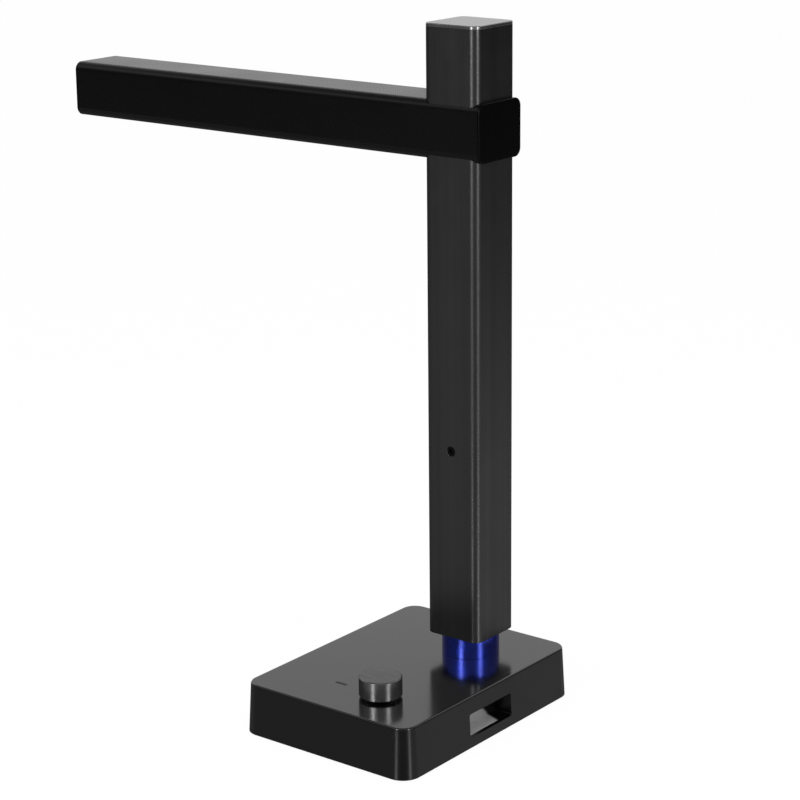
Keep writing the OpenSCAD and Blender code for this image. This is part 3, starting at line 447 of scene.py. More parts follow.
@finish
def turned_knob(b, value):
    """Turned and dyed knob: circular lathe lines on its top and sides; its top is painted paler and
    streaky, a painted highlight for the light the top reflects.
    """
    spot = b.place(shift=(*middle(KNOB).xy, 0))
    x, y, z = b.parts(spot)
    radius = (x * x + y * y) ** 0.5
    across = b.node("ShaderNodeCombineXYZ", None, {0: radius * 6200, 1: z * 6200, 2: 0.0})
    lines = b.noise(across, 1, 2, 0.6)
    cloud = b.noise(spot, 190, 3, 0.6)
    streaks = b.noise(b.place((420, 90, 420), turn=(0, 0, 0.9)), 1, 2, 0.6)
    side = b.blend(lines * 0.5 + cloud * 0.5, shade(value, 0.75), shade(value, 1.25))
    # Painted highlight: the top gets a paler, streaked copy of the tone for the brighter light it
    # reflects
    top = b.blend(lines * 0.3 + streaks * 0.7, shade(value, 1.0), shade(value, 1.8))
    tone = b.blend(b.up().between(0.6, 0.95), side, top)
    roughness = 0.3 + (cloud - 0.5) * 0.08 + (lines - 0.5) * 0.12
    normal = b.bump(lines, 0.6, 0.00003)
    tint = (0.25, 0.25, 0.25, 1)
    return b.surface(tone, roughness, normal, Metallic=1.0, Specular_Tint=tint)


@finish
def moulded(b, value, rough=0.5, scale=1500, depth=0.1):
    """Fine spark-eroded texture on moulded plastic."""
    spot = b.place()
    pits = b.noise(spot, scale, 3, 0.65)
    cloud = b.noise(spot, 60, 3, 0.6)
    tone = b.blend(cloud * 0.6 + pits * 0.4, shade(value, 0.82), shade(value, 1.18))
    roughness = rough + (cloud - 0.5) * 0.12 + (pits - 0.5) * 0.16
    return b.surface(tone, roughness, b.bump(pits, depth, 0.0001), IOR=1.45)


@finish
def machined(b, value, rough=0.3, axis=Z):
    """Bare or plated metal with fine tool lines and a little tarnish."""
    scale = [3800, 3800, 3800]
    scale[axis] = 150
    lines = b.noise(b.place(scale), 1, 2, 0.6)
    cloud = b.noise(b.place(), 130, 4, 0.65)
    tone = b.blend(cloud.between(0.3, 0.75), value, shade(value, 0.7))
    roughness = rough + (cloud - 0.5) * 0.2 + (lines - 0.5) * 0.14
    return b.surface(tone, roughness, b.bump(lines, 0.12, 0.00005), Metallic=1.0)


@finish
def soft_rubber(b, value):
    """Matt rubber with a fine stipple and a dusting of wear."""
    spot = b.place()
    stipple = b.cells(spot, 900, "SMOOTH_F1")
    cloud = b.noise(spot, 45, 4, 0.65)
    tone = b.blend(cloud.between(0.4, 0.75), value, shade(value, 1.9))
    roughness = 0.82 + (cloud - 0.5) * 0.2
    return b.surface(tone, roughness, b.bump(stipple, 0.35, 0.0002), IOR=1.4)


@finish
def solder_mask(b, value):
    """Printed board: lacquer over faint tracks laid on a grid."""
    x, y, z = b.parts(b.place((420, 420, 420)))
    grid = b.node("ShaderNodeCombineXYZ", None, {0: x, 1: y * 0.12, 2: z})
    lanes = b.cells(grid, 1, "DISTANCE_TO_EDGE", 0.4)
    tracks = 1 - lanes.between(0.06, 0.12)
    cloud = b.noise(b.place(), 120, 2)
    tone = b.blend(tracks * 0.6, shade(value, 0.8), shade(value, 1.6))
    roughness = 0.32 + (cloud - 0.5) * 0.14 - tracks * 0.06
    return b.surface(tone, roughness, b.bump(tracks, 0.25, 0.00005), IOR=1.5)


@finish
def coated_glass(b, value, tint):
    """Dark lens glass: a coloured coating that shifts towards the rim, faint cleaning haze."""
    x, y, z = b.parts(b.place(shift=(*middle(WINDOW).xy, 0)))
    radius = ((x * x + y * y) ** 0.5) / GLASS_RADIUS
    haze = b.noise(b.place(), 260, 3, 0.6)
    tone = b.blend(radius.between(0.1, 0.8), tint, value)
    roughness = 0.03 + haze.between(0.5, 0.8) * 0.08
    normal = b.bump(haze, 0.01, 0.00005)
    values = {"Coat_Roughness": 0.02, "Coat_Weight": 1.0, "IOR": 1.7}
    return b.surface(tone, roughness, normal, **values)


@finish
def milky(b, value):
    """Milk-white light cover: faint ribs across and a soft cloud."""
    along = b.parts(b.place())[Y]
    ribs = b.node("ShaderNodeMath", {"operation": "SINE"}, {0: along * 4200})
    cloud = b.noise(b.place(), 70, 3, 0.6)
    tone = b.blend(cloud, shade(value, 0.93), value)
    roughness = 0.42 + (cloud - 0.5) * 0.12
    values = {"Subsurface_Weight": 0.25, "Subsurface_Scale": 0.002, "IOR": 1.49}
    return b.surface(tone, roughness, b.bump(ribs, 0.12, 0.00008), **values)


@finish
def recess_tray(b, look):
    """Pale grey tray with painted light and shadow: a painted arch of light on its back plate, which is
    painted dark as shadow elsewhere, and its floor painted dark as shadow past a slanted line.
    """
    spot = b.place()
    x, y, z = b.parts(spot)
    back = COVER[1].y - look.draft - look.recess_depth
    pits = b.noise(spot, 1400, 3, 0.65)
    cloud = b.noise(spot, 90, 3, 0.6)
    grain = cloud * 0.6 + pits * 0.4
    pale = b.blend(grain, shade(look.panel_colour, 0.85), shade(look.panel_colour, 1.1))
    inward = middle(PANEL).x + look.recess_width / 2 - x
    floor = middle(PANEL).z - look.recess_height / 2
    # Painted light: a soft pale arch on the back plate, with painted shadow round it
    along, rise = inward - ARCH_ALONG, z - (floor - ARCH_DROP)
    arch = 1 - ((along * along + rise * rise) ** 0.5).between(*ARCH_RADII)
    # Painted shadow: the floor is pale up to a slanted line and painted dark beyond it
    reach = FLOOR_REACH - (y - back) * FLOOR_SLANT
    painted_floor_light = 1 - (inward - reach).between(-FLOOR_BLUR, FLOOR_BLUR)
    ahead = y.between(back + FIT, back + 2 * FIT)
    painted_light = arch * (1 - ahead) * ARCH_LIGHT + painted_floor_light * ahead
    # Painted shade: where no painted light falls, the tray gets a near black instead of its pale grey
    tone = b.blend(painted_light, (0.004, 0.004, 0.004), pale)
    roughness = 0.42 + (cloud - 0.5) * 0.12 + (pits - 0.5) * 0.16
    return b.surface(tone, roughness, b.bump(pits, 0.08, 0.0001), IOR=1.45)


def block(low, high):
    """A bmesh box between two corners."""
    bm = bmesh.new()
    bmesh.ops.create_cube(bm, size=1.0)
    low, high = Vector(low), Vector(high)
    bmesh.ops.scale(bm, vec=high - low, verts=bm.verts)
    bmesh.ops.translate(bm, vec=(low + high) / 2, verts=bm.verts)
    return bm


def long_edges(bm, axis):
    """Edges that run along an axis."""
    return [e for e in bm.edges if abs((e.verts[0].co - e.verts[1].co).normalized()[axis]) > ALONG]


def rim(bm, axis, level):
    """Edges that lie at a level of an axis, between a flat end and the sides."""
    return [e for e in bm.edges if all(abs(v.co[axis] - level) < TOUCH for v in e.verts)]


def round_off(bm, edges, radius, segments):
    """Rounds edges."""
    bmesh.ops.bevel(
        bm, geom=edges, offset=radius, offset_type="OFFSET", segments=segments,
        profile=0.5, affect="EDGES", clamp_overlap=True, material=-1,
    )


def rounded_bar(low, high, axis, radius, segments):
    """A box whose four edges along an axis are round."""
    bm = block(low, high)
    round_off(bm, long_edges(bm, axis), radius, segments)
    return bm


def upright_bar(centre, half, start, end, radius, segments):
    """A box with round upright edges, from one height to another, half as wide and deep as half says."""
    low = (centre.x - half[0], centre.y - half[1], start)
    high = (centre.x + half[0], centre.y + half[1], end)
    return rounded_bar(low, high, Z, radius, segments)


def rod(centre, axis, radius, start, end, segments):
    """A round rod along the X or Z axis, from one level to another."""
    bm = bmesh.new()
    bmesh.ops.create_cone(
        bm, cap_ends=True, segments=segments, radius1=radius, radius2=radius, depth=end - start
    )
    if axis == X:
        bmesh.ops.rotate(bm, matrix=Matrix.Rotation(math.pi / 2, 3, "Y"), verts=bm.verts)
    spot = Vector(centre)
    spot[axis] = (start + end) / 2
    bmesh.ops.translate(bm, vec=spot, verts=bm.verts)
    return bm


def lathe(profile, centre, steps):
    """A closed outline of (radius, level) points turned once round an upright axis."""
    bm = bmesh.new()
    points = [bm.verts.new((centre[0] + r, centre[1], z)) for r, z in profile]
    edges = [bm.edges.new((a, b)) for a, b in zip(points, points[1:])]
    if profile[0][0] > MERGE and profile[-1][0] > MERGE:
        edges.append(bm.edges.new((points[-1], points[0])))
    bmesh.ops.spin(
        bm, geom=points + edges, cent=(centre[0], centre[1], 0), axis=(0, 0, 1),
        angle=2 * math.pi, steps=steps, use_merge=True,
    )
    bmesh.ops.remove_doubles(bm, verts=bm.verts, dist=MERGE)
    return bm


def loose(bm, name):
    """A plain object made from a bmesh, not yet a piece."""
    bmesh.ops.recalc_face_normals(bm, faces=bm.faces)
    mesh = bpy.data.meshes.new(name)
    bm.to_mesh(mesh)
    bm.free()
    obj = bpy.data.objects.new(name, mesh)
    bpy.context.scene.collection.objects.link(obj)
    return obj


def carve(obj, tools, operation="DIFFERENCE"):
    """Cuts each tool out of the object, or joins it, and keeps the result as its mesh."""
    for bm in tools:
        tool = loose(bm, "cutter")
        change = obj.modifiers.new("carve", "BOOLEAN")
        change.operation = operation
        change.solver = "EXACT"
        change.object = tool
        shown = obj.evaluated_get(bpy.context.evaluated_depsgraph_get())
        cut = bpy.data.meshes.new_from_object(shown)
        obj.modifiers.clear()
        old = obj.data
        obj.data = cut
        bpy.data.meshes.remove(old)
        bpy.data.objects.remove(tool)


def piece(obj, name, body, material, nodes, bevel=0.0, segments=3, limit=30):
    """Finishes an object as a piece that stands for CAD nodes; bevel rounds edges sharper than limit."""
    obj.name = name
    obj.data.name = name
    obj.data.materials.clear()
    obj.data.materials.append(material)
    obj.data.polygons.foreach_set("use_smooth", [True] * len(obj.data.polygons))
    if bevel:
        edge = obj.modifiers.new("edge", "BEVEL")
        edge.width = bevel
        edge.segments = segments
        edge.limit_method = "ANGLE"
        edge.angle_limit = math.radians(limit)
        edge.miter_outer = "MITER_ARC"
    else:
        obj.data.set_sharp_from_angle(angle=math.radians(limit))
    even = obj.modifiers.new("even", "WEIGHTED_NORMAL")
    even.keep_sharp = True
    even.weight = 90
    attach(obj, body)
    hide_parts(*nodes)


def dress(material, *nodes):
    """Gives CAD nodes a material."""
    for name in nodes:
        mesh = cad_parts[name].data
        if mesh.materials:
            for index in range(len(mesh.materials)):
                mesh.materials[index] = material
        else:
            mesh.materials.append(material)


class SCANNER_OT_base(bpy.types.Operator):
    """Moulds the base cover with its rounded brow, recess, knob hole and light slit"""

    bl_idname = "scanner.base"
    bl_label = "Base cover"

    def execute(self, context):
        look = context.scene.scanner_base
        low, high = COVER
        face = high.y - look.draft
        top = (high.x - look.draft, face)
        roof, under = high.z, high.z - 2 * look.wall
        obj = loose(self.tub(top, look, 0.0, low.z, roof, look.brow), "cover")
        carve(obj, [self.tub(top, look, look.wall, low.z - OVERRUN, roof - look.wall, 0.0)])
        centre = middle(PANEL)
        back = face - look.recess_depth
        half = look.recess_width / 2
        rise = look.recess_height / 2
        wall = size_of(PANEL).x / 2 - half
        lining = rounded_bar(
            (centre.x - half - wall, back - wall, centre.z - rise - wall),
            (centre.x + half + wall, face, centre.z + rise + wall),
            Y, look.recess_corner + wall, 6,
        )
        carve(obj, [lining], "UNION")
        recess = rounded_bar(
            (centre.x - half, back - 2 * wall, centre.z - rise),
            (centre.x + half, high.y + OVERRUN, centre.z + rise),
            Y, look.recess_corner, 6,
        )
        flat = half - look.recess_corner + FIT
        pocket = block(
            (centre.x - flat, back - OVERRUN, centre.z - rise - look.tray - FIT),
            (centre.x + flat, PANEL[1].y + FIT, centre.z),
        )
        slit = (SLIT_HALF, size_of(SLIT).y / 2 - SLIT_END)
        carve(obj, [
            recess,
            pocket,
            rod(middle(SHAFT), Z, SHAFT_HOLE, under, roof + OVERRUN, 64),
            rod(middle(COLLAR), Z, COLLAR_BORE, low.z, roof + OVERRUN, 96),
            upright_bar(middle(SLIT), slit, under, roof + OVERRUN, SLIT_CORNER, 8),
        ])
        material = gloss_cover("gloss_black_cover", look.cover_colour)
        piece(obj, "cover_shell", "base", material, ["base_cover"], 0.16 * MM, limit=35)
        return {"FINISHED"}

    def tub(self, top, look, inset, floor, roof, brow):
        """A block with round corners that leans out downwards, inset from the cover's outside."""
        x, y = top[0] - inset, top[1] - inset
        radius = look.corner - inset
        bm = rounded_bar((-x, -y, floor), (x, y, roof), Z, radius, 18)
        lean = look.draft * (roof - floor) / size_of(COVER).z
        flat = (x - radius, y - radius)
        for v in bm.verts:
            if abs(v.co.z - floor) < TOUCH:
                spot = v.co.xy
                heart = [math.copysign(min(abs(a), most), a) for a, most in zip(spot, flat)]
                out = (spot - Vector(heart)).normalized() * lean
                v.co.x += out.x
                v.co.y += out.y
        if brow:
            round_off(bm, rim(bm, Z, roof), brow, 6)
        return bm


class SCANNER_OT_underside(bpy.types.Operator):
    """Finishes the bottom plate, its screws and the rubber pad"""

    bl_idname = "scanner.underside"
    bl_label = "Underside"

    def execute(self, context):
        dress(moulded("black_plate", (0.012, 0.012, 0.0125), 0.55, 1300, 0.16), "base_plate")
        zinc = machined("zinc_screws", (0.36, 0.36, 0.37), 0.34)
        dress(zinc, "plate_screws", "ballast_screws", "hub_screws")
        bm = rounded_bar(*PAD, Z, PAD_CORNER, 12)
        round_off(bm, rim(bm, Z, PAD[0].z), PAD_EDGE, 3)
        rubber = soft_rubber("black_rubber", (0.012, 0.012, 0.012))
        piece(loose(bm, "pad"), "rubber_foot", "base", rubber, ["rubber_pad"])
        return {"FINISHED"}


class SCANNER_OT_sockets(bpy.types.Operator):
    """Finishes the tray in the recess and the socket in it"""

    bl_idname = "scanner.sockets"
    bl_label = "Socket recess"

    def execute(self, context):
        look = context.scene.scanner_base
        dress(recess_tray("recess_tray", look), "port_panel")
        dress(machined("nickel_socket", (0.62, 0.6, 0.57), 0.22, Y), "usb_socket")
        return {"FINISHED"}


class SCANNER_OT_collar(bpy.types.Operator):
    """Turns the blue collar between base and column"""

    bl_idname = "scanner.collar"
    bl_label = "Collar"

    def execute(self, context):
        look = context.scene.scanner_base
        low, high = COLLAR
        outer = (high.x - low.x) / 2
        outline = [
            (COLLAR_BORE, low.z), (outer, low.z), (outer, high.z - COLLAR_EDGE),
            (outer - COLLAR_EDGE, high.z), (COLLAR_BORE, high.z),
        ]
        obj = loose(lathe(outline, middle(COLLAR), 160), "collar")
        dye = dyed_collar("dyed_blue_collar", look.collar_colour)
        piece(obj, "blue_collar", "base", dye, ["collar_ring"], 0.12 * MM, 2)
        return {"FINISHED"}


class SCANNER_OT_column(bpy.types.Operator):
    """Draws the square column with its guide slot, screw holes and cap"""

    bl_idname = "scanner.column"
    bl_label = "Column"

    def execute(self, context):
        look = context.scene.scanner_column
        low, high = COLUMN
        wall = Vector((look.wall, look.wall, -OVERRUN))
        centre = middle(COLUMN)
        half = look.slot_width / 2
        obj = loose(rounded_bar(low, high, Z, look.corner, 14), "column")
        bore = high.x - 2 * look.wall
        tools = [
            rounded_bar(low + wall, high - wall, Z, look.corner - look.wall, 10),
            rounded_bar(
                (centre.x - half, low.y - OVERRUN, STOP_BLOCK[1].z - look.wall),
                (centre.x + half, low.y + 2 * look.wall, look.slot_high),
                Y, look.wall, 6,
            ),
            rod((0, centre.y, middle(STOP).z), X, STOP_HOLE, bore, high.x + OVERRUN, 40),
        ]
        for z in (FOOT_SCREWS[0].z + HEAD, FOOT_SCREWS[1].z - HEAD):
            for y in (FOOT_SCREWS[0].y + HEAD, FOOT_SCREWS[1].y - HEAD):
                tools.append(rod((0, y, z), X, HEAD, low.x - OVERRUN, low.x + FOOT_SEAT, 32))
        carve(obj, tools)
        metal = anodised("drawn_black_column", look.metal_colour)
        piece(obj, "column_profile", "column", metal, ["column_tube"], 0.18 * MM, limit=35)
        bm = rounded_bar((CAP[0].x, CAP[0].y, high.z), CAP[1], Z, look.corner, 14)
        round_off(bm, rim(bm, Z, CAP[1].z), look.cap_bevel, 4)
        cap = loose(bm, "cap")
        skirt = look.wall + PLUG_GAP
        plug = rounded_bar(
            (CAP[0].x + skirt, CAP[0].y + skirt, CAP[0].z),
            (CAP[1].x - skirt, CAP[1].y - skirt, high.z + PLUG_ROOT),
            Z, look.corner - look.wall, 8,
        )
        carve(cap, [plug], "UNION")
        metal = blasted("blasted_cap", look.cap_colour)
        piece(cap, "column_end_cap", "column", metal, ["column_cap"], 0.1 * MM, 2, limit=35)
        dress(machined("black_socket_screw", (0.03, 0.03, 0.031), 0.3, X), "stop_screw")
        dress(machined("black_foot_screws", (0.11, 0.11, 0.112), 0.32, X), "foot_screws")
        return {"FINISHED"}


class SCANNER_OT_arm(bpy.types.Operator):
    """Makes the hollow arm, its two end caps and the holes in it"""

    bl_idname = "scanner.arm"
    bl_label = "Arm"

    def execute(self, context):
        look = context.scene.scanner_arm
        low, high = ARM
        centre, screws = middle(COLUMN), middle(GUIDE_SCREWS)
        obj = loose(rounded_bar(low, high, Y, look.edge, 14), "arm")
        inner = Vector((look.side_wall, -OVERRUN, look.flat_wall))
        half = size_of(COLUMN).x / 2 + look.gap
        corner = context.scene.scanner_column.corner + look.gap
        start, end = low.z - OVERRUN, low.z + 2 * look.flat_wall
        tools = [
            rounded_bar(low + inner, high - inner, Y, look.edge - look.side_wall, 10),
            upright_bar(centre, (half, half), start, high.z + OVERRUN, corner, 12),
            rod(middle(BEZEL), Z, LENS_HOLE, start, end, 96),
            upright_bar(middle(DIFFUSER), LIGHT_HALF, start, end, LIGHT_CORNER, 8),
        ]
        for x in (GUIDE_SCREWS[0].x + HEAD, GUIDE_SCREWS[1].x - HEAD):
            tools.append(rod((x, screws.y, 0), Z, HEAD, start, low.z + look.flat_wall * GUIDE_SEAT, 32))
        carve(obj, tools)
        paint = satin_arm("satin_black_arm", look.paint_colour)
        piece(obj, "arm_sleeve", "arm", paint, ["arm_shell"], 0.14 * MM, limit=35)
        paint = satin_arm("satin_black_arm_ends", shade(look.paint_colour, 0.8), 0.22, 1.3)
        ends = (
            ("arm_front_cap", "arm_cap_front", FRONT[0], (FRONT[1].x, low.y, FRONT[1].z), FRONT[0].y),
            ("arm_rear_cap", "arm_cap_rear", (REAR[0].x, high.y, REAR[0].z), REAR[1], REAR[1].y),
        )
        for name, node, first, last, face in ends:
            bm = rounded_bar(first, last, Y, look.edge, 14)
            round_off(bm, rim(bm, Y, face), look.lip, 4)
            piece(loose(bm, name), name, "arm", paint, [node])
        dress(machined("black_guide_screws", (0.06, 0.06, 0.061), 0.3), "guide_screws")
        return {"FINISHED"}


class SCANNER_OT_camera(bpy.types.Operator):
    """Makes the lens bezel and window under the arm and the light cover beside them"""

    bl_idname = "scanner.camera"
    bl_label = "Camera and light"

    def execute(self, context):
        low, high = BEZEL
        face = ARM[0].z
        outer = size_of(BEZEL).x / 2
        glass = size_of(WINDOW).x / 2
        rise = face - low.z
        neck, ledge, seat = outer - BEZEL_STEP, glass - BEZEL_STEP, glass + FIT
        outline = [
            (ledge, face - rise / 2), (glass, low.z), (outer - rise, low.z), (outer, face),
            (neck, face), (neck, high.z), (seat, high.z), (seat, WINDOW[0].z), (ledge, WINDOW[0].z),
        ]
        bezel = loose(lathe(outline, middle(BEZEL), 128), "bezel")
        paint = satin_arm("satin_black_bezel", (0.006, 0.006, 0.0062), 0.3, 1.4)
        piece(bezel, "camera_bezel", "arm", paint, ["lens_bezel"], 0.08 * MM, 2)
        dress(coated_glass("camera_window", (0.004, 0.004, 0.006), (0.012, 0.008, 0.03)), "lens_window")
        dress(coated_glass("lens_elements", (0.01, 0.02, 0.05), (0.03, 0.06, 0.16)), "lens_glass")
        low, high = DIFFUSER
        strip = middle(DIFFUSER)
        shelf = face + FLANGE_RISE
        half = [side - FIT for side in LIGHT_HALF]
        front = upright_bar(strip, half, low.z, low.z + FLANGE_ROOT, LIGHT_CORNER - FIT, 8)
        cover = loose(front, "diffuser")
        flange = rounded_bar((low.x, low.y, shelf), high, Z, FLANGE_CORNER, 6)
        carve(cover, [flange], "UNION")
        carve(cover, [
            upright_bar(strip, LIGHT_HALF, shelf + FLANGE_WALL, high.z + OVERRUN, FLANGE_CORNER, 6)
        ])
        milk = milky("milk_light_cover", (0.8, 0.8, 0.79))
        piece(cover, "light_cover", "arm", milk, ["light_diffuser"], 0.12 * MM, 2)
        return {"FINISHED"}


class SCANNER_OT_knob(bpy.types.Operator):
    """Turns the push-and-turn knob, finishes its shaft and fills the light slit"""

    bl_idname = "scanner.knob"
    bl_label = "Knob and indicator"

    def execute(self, context):
        look = context.scene.scanner_knob
        low, high = KNOB
        outer = (high.x - low.x) / 2
        inner, roof = outer - look.wall, high.z - look.roof
        outline = [
            (inner, low.z), (outer - look.brow / 2, low.z), (outer, low.z + look.brow / 2),
            (outer, high.z - look.brow), (outer - look.brow, high.z),
        ]
        for ring in range(DISH_RINGS + 1):
            share = 1 - ring / DISH_RINGS
            outline.append((outer * DISH_SHARE * share, high.z - look.dish * (1 - share * share)))
        outline += [(0, roof), (inner, roof), (inner, low.z)]
        obj = loose(lathe(outline, middle(KNOB), 128), "knob")
        metal = turned_knob("turned_black_knob", look.metal_colour)
        piece(obj, "turned_knob", "knob", metal, ["knob_cap"], 0.12 * MM)
        dress(moulded("knob_core", (0.01, 0.01, 0.01), 0.5), "knob_insert")
        dress(machined("knob_steel", (0.5, 0.5, 0.51), 0.26), "knob_shaft")
        half = (SLIT_HALF - FIT, size_of(SLIT).y / 2 - SLIT_END - FIT)
        window = upright_bar(
            middle(SLIT), half, SLIT[0].z, COVER[1].z - SLIT_SINK, SLIT_HALF - 2 * FIT, 8
        )
        smoked = satin_arm("smoked_slit", (0.003, 0.003, 0.004), 0.12, 1.5)
        piece(
            loose(window, "lens"), "indicator_window", "base", smoked,
            ["indicator_lens"], 0.05 * MM, 2,
        )
        return {"FINISHED"}


class SCANNER_OT_inner(bpy.types.Operator):
    """Gives each piece inside the scanner its finish"""

    bl_idname = "scanner.inner"
    bl_label = "Inner pieces"

    def execute(self, context):
        dress(moulded("cast_ballast", (0.12, 0.12, 0.125), 0.6, 700, 0.5), "ballast_weight")
        dress(solder_mask("green_board", (0.02, 0.09, 0.04)), "control_board", "camera_board")
        dress(solder_mask("white_board", (0.6, 0.6, 0.58)), "light_board")
        dress(moulded("black_chips", (0.02, 0.02, 0.02), 0.45, 2600, 0.1), "board_chips")
        dress(machined("bright_small_screws", (0.55, 0.55, 0.56), 0.26), "board_screws", "camera_screws")
        dress(moulded("indicator_light", (0.7, 0.68, 0.55), 0.3), "indicator_led")
        dress(moulded("strip_lights", (0.8, 0.7, 0.3), 0.3), "light_chips")
        dress(machined("encoder_case", (0.3, 0.3, 0.31), 0.4), "encoder_body")
        dress(moulded("encoder_slider", (0.55, 0.53, 0.48), 0.45), "encoder_plunger")
        dress(moulded("cast_hub", (0.22, 0.22, 0.225), 0.45, 900, 0.3), "swivel_hub")
        dress(machined("bronze_bushes", (0.5, 0.32, 0.14), 0.32), "swivel_bushes")
        dress(moulded("white_washer", (0.75, 0.75, 0.72), 0.35), "thrust_washer")
        dress(machined("spindle_steel", (0.5, 0.5, 0.51), 0.22), "swivel_spindle", "spindle_nut")
        dress(machined("spring_steel", (0.32, 0.32, 0.34), 0.3), "spring_washer")
        dress(moulded("cast_foot", (0.2, 0.2, 0.205), 0.5, 900, 0.3), "column_foot")
        ivory = moulded("ivory_slides", (0.66, 0.63, 0.53), 0.42, 1400, 0.08)
        dress(ivory, "stop_block", "guide_block", "rear_glide")
        dress(soft_rubber("felt_pads", (0.03, 0.03, 0.03)), "friction_pads")
        dress(moulded("black_carrier", (0.018, 0.018, 0.018), 0.5), "camera_carrier", "lens_holder")
        dress(machined("sensor_die", (0.1, 0.09, 0.14), 0.25), "image_sensor")
        dress(machined("black_barrel", (0.03, 0.03, 0.031), 0.38), "lens_barrel")
        return {"FINISHED"}


# What reflections see of the studio, as (sine of the height, brightness): on the knob's side, on the
# sockets' side, behind the scanner and before it
LEFT_SIDE = (
    (-0.5, 0.14), (-0.4, 0.15), (-0.36, 0.17), (-0.33, 0.24), (-0.28, 0.31), (-0.235, 0.22),
    (-0.185, 0.02), (-0.14, 0.02), (0.0, 0.04), (0.12, 0.05), (0.25, 0.05), (0.38, 0.1),
    (0.45, 0.5), (0.62, 0.5), (0.72, 0.1),
)
RIGHT_SIDE = (
    (-0.5, 0.2), (-0.4, 0.32), (-0.34, 0.54), (-0.3, 0.48), (-0.26, 0.2), (-0.22, 0.02),
    (-0.18, 0.015), (-0.13, 0.015), (0.0, 0.02), (0.12, 0.04), (0.25, 0.05), (0.38, 0.1),
    (0.45, 0.5), (0.62, 0.5), (0.72, 0.1),
)
FAR_SIDE = (
    (-0.5, 0.03), (-0.12, 0.06), (-0.02, 0.7), (0.0, 1.0), (0.12, 0.94), (0.25, 0.58),
    (0.37, 0.37), (0.42, 0.36), (0.5, 0.6), (0.58, 0.6), (0.68, 0.1),
)
NEAR_SIDE = (
    (-0.5, 0.13), (-0.1, 0.13), (0.12, 0.1), (0.25, 0.14), (0.38, 0.18), (0.45, 0.5),
    (0.62, 0.5), (0.72, 0.2),
)
# From the scanner towards the camera, seen from above, and how much of a direction has to lie that way
# or the other way for the near and the far side to start and to be alone
TOWARDS = (0.789, 0.614)
NEAR_FADE = (0.5, 0.9)
FAR_FADE = (0.45, 0.85)

# Stretches of the two upright strip lights, by the light's direction in degrees: (lower end, upper end,
# brightness); how far away the lights stand, and what they face
STRETCHES = {
    -2: ((-0.5, -0.25, 0.7), (-0.25, 0.1, 0.1), (0.1, 0.3, 0.4), (0.3, 0.6, 2.4), (0.6, 1.2, 0.1)),
    77: ((-0.5, -0.25, 0.8), (-0.25, 0.1, 0.19), (0.1, 0.3, 0.55), (0.3, 0.6, 1.7), (0.6, 1.2, 0.1)),
}
STRIP_AWAY = 0.95
STRIP_AIM = (-0.02, 0.0)

# The light above: its side and its place
OVERHEAD_SIDE = 1.1
OVERHEAD_PLACE = (0.15, 0.1, 1.5)

# The floor: half its side, its grey as a surface, and its glow where the camera sees it
FLOOR_HALF = 14
FLOOR_GREY = 0.62
FLOOR_GLOW = 1.09

# The camera: its place, then what is right, up and back for it
CAMERA_PLACE = (0.88592, 0.69056, 0.48496)
CAMERA_AXES = (
    (-0.61364, 0.78953, -0.00939),
    (-0.21049, -0.15211, 0.96569),
    (0.76101, 0.59456, 0.25953),
)
CAMERA_LENS = {
    "sensor_width": 36.0, "lens": 106.89, "shift_x": -0.0048, "shift_y": -0.0433,
    "clip_start": 0.05, "clip_end": 60.0,
}
WHITE = (1, 1, 1, 1)


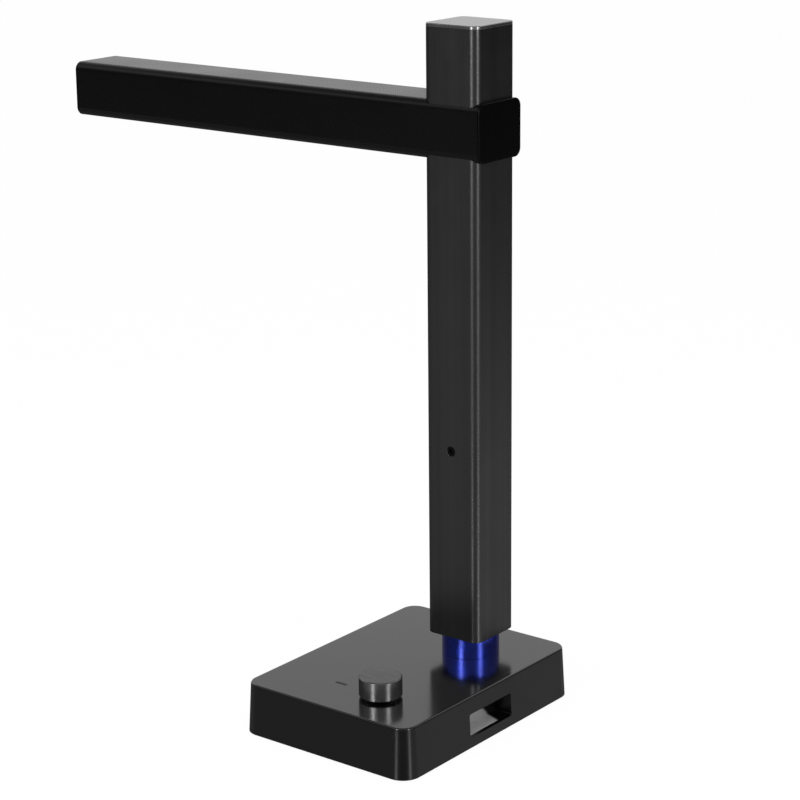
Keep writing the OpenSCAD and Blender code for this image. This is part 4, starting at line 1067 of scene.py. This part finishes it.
class SCANNER_OT_studio(bpy.types.Operator):
    """Sets the floor, the soft light and the camera"""

    bl_idname = "scanner.studio"
    bl_label = "Studio"

    def execute(self, context):
        look = context.scene.scanner_studio
        scene = context.scene
        self.floor(look)
        self.surround(scene, look)
        for azimuth, stretches in STRETCHES.items():
            for low, high, share in stretches:
                self.strip(azimuth, low, high, look.strip * share, look.strip_width)
        self.overhead(look)
        self.camera(scene)
        scene.view_settings.view_transform = "Standard"
        return {"FINISHED"}

    def floor(self, look):
        """A pale floor that shows white and keeps the scanner's shadow, and isn't there from below."""
        bm = bmesh.new()
        bmesh.ops.create_grid(bm, x_segments=4, y_segments=4, size=FLOOR_HALF)
        floor = loose(bm, "floor")
        b = Bench(bpy.data.materials.new("pale_floor"))
        plain = b.node("ShaderNodeBsdfDiffuse", None, {"Color": (*[FLOOR_GREY] * 3, 1)})
        white = b.node("ShaderNodeEmission", None, {"Color": WHITE, "Strength": FLOOR_GLOW})
        share = b.seen() * look.floor
        above = b.node("ShaderNodeMixShader", None, {0: share, 1: plain, 2: white})
        below = b.node("ShaderNodeNewGeometry", output="Backfacing")
        clear = b.node("ShaderNodeBsdfTransparent")
        b.close(b.node("ShaderNodeMixShader", None, {0: below, 1: above, 2: clear}))
        floor.data.materials.append(b.owner)
        floor.visible_glossy = False
        floor.visible_shadow = False

    def surround(self, scene, look):
        """White for the camera, dim for soft light, and four sides of light for reflections."""
        scene.world = bpy.data.worlds.new("studio")
        b = Bench(scene.world)
        seen = b.seen()
        glint = b.ray("Is Glossy Ray")
        x, y, z = b.parts(b.node("ShaderNodeTexCoord", output="Generated"))
        height = z * 0.5 + 0.5
        left_side, right_side, far_side, near_side = (
            self.ramp(b, height, levels) for levels in (LEFT_SIDE, RIGHT_SIDE, FAR_SIDE, NEAR_SIDE)
        )
        right = (y - x).between(-1.0, 1.0)
        behind = (x * -TOWARDS[0] - y * TOWARDS[1]).between(*FAR_FADE)
        before = (x * TOWARDS[0] + y * TOWARDS[1]).between(*NEAR_FADE)
        around = ((1 - right) * left_side + right * right_side) * (1 - before) + near_side * before
        mirrored = around * (1 - behind) + far_side * behind
        strength = seen + (1 - seen) * (glint * mirrored + (1 - glint) * look.world)
        b.close(b.node("ShaderNodeBackground", None, {"Color": WHITE, "Strength": strength}), "World")

    def ramp(self, b, height, levels):
        """Brightness at each height of one side, in straight steps."""
        stops = [(z * 0.5 + 0.5, (level, level, level, 1)) for z, level in levels]
        return b.node("ShaderNodeValToRGB", {"stops": stops}, {0: height})

    def lamp(self, name, width, depth, energy):
        """A four-sided light that the camera doesn't see."""
        data = bpy.data.lights.new(name, "AREA")
        data.shape = "RECTANGLE"
        data.size = width
        data.size_y = depth
        data.energy = energy
        lamp = bpy.data.objects.new(name, data)
        lamp.visible_camera = False
        bpy.context.scene.collection.objects.link(lamp)
        return lamp

    def strip(self, azimuth, low, high, radiance, width):
        """A stretch of an upright strip light that faces the column."""
        lamp = self.lamp("strip", width, high - low, radiance * math.pi * width * (high - low))
        turn = math.radians(azimuth)
        spot = Vector((math.cos(turn) * STRIP_AWAY, math.sin(turn) * STRIP_AWAY, (low + high) / 2))
        lamp.location = spot
        back = spot - Vector((*STRIP_AIM, spot.z))
        lamp.rotation_mode = "QUATERNION"
        lamp.rotation_quaternion = back.to_track_quat("Z", "Y")

    def overhead(self, look):
        """A broad soft light above, left out of reflections."""
        lamp = self.lamp("overhead", OVERHEAD_SIDE, OVERHEAD_SIDE, look.overhead)
        lamp.location = OVERHEAD_PLACE
        lamp.visible_glossy = False

    def camera(self, scene):
        """The camera at the photograph's place."""
        data = bpy.data.cameras.new("camera")
        for key, value in CAMERA_LENS.items():
            setattr(data, key, value)
        cam = bpy.data.objects.new("camera", data)
        turn = Matrix(CAMERA_AXES).transposed().to_4x4()
        cam.matrix_world = Matrix.Translation(CAMERA_PLACE) @ turn
        scene.collection.objects.link(cam)
        scene.camera = cam


class SCANNER_PT_panel(bpy.types.Panel):
    """Lists the scanner's pieces and their settings"""

    bl_idname = "SCANNER_PT_panel"
    bl_label = "Overhead scanner"
    bl_space_type = "VIEW_3D"
    bl_region_type = "UI"
    bl_category = "Scanner"

    def draw(self, context):
        for group in GROUPS:
            box = self.layout.box()
            box.label(text=group[1])
            settings = getattr(context.scene, group[0])
            for key in settings.__annotations__:
                box.prop(settings, key)
        for operator in OPERATORS:
            self.layout.operator(operator.bl_idname)


GROUPS = (
    ("scanner_base", "Base", ScannerBaseSettings),
    ("scanner_column", "Column", ScannerColumnSettings),
    ("scanner_arm", "Arm", ScannerArmSettings),
    ("scanner_knob", "Knob", ScannerKnobSettings),
    ("scanner_studio", "Studio", ScannerStudioSettings),
)
OPERATORS = (
    SCANNER_OT_base, SCANNER_OT_underside, SCANNER_OT_sockets, SCANNER_OT_collar,
    SCANNER_OT_column, SCANNER_OT_arm, SCANNER_OT_camera, SCANNER_OT_knob,
    SCANNER_OT_inner, SCANNER_OT_studio,
)


def register():
    for name, _, group in GROUPS:
        bpy.utils.register_class(group)
        setattr(bpy.types.Scene, name, PointerProperty(type=group))
    for cls in (*OPERATORS, SCANNER_PT_panel):
        bpy.utils.register_class(cls)


def unregister():
    for cls in reversed((*OPERATORS, SCANNER_PT_panel)):
        bpy.utils.unregister_class(cls)
    for name, _, group in reversed(GROUPS):
        delattr(bpy.types.Scene, name)
        bpy.utils.unregister_class(group)


def main():
    """Makes every piece in order."""
    register()
    for operator in OPERATORS:
        group, name = operator.bl_idname.split(".")
        getattr(getattr(bpy.ops, group), name)()


if __name__ == "__main__":
    main()
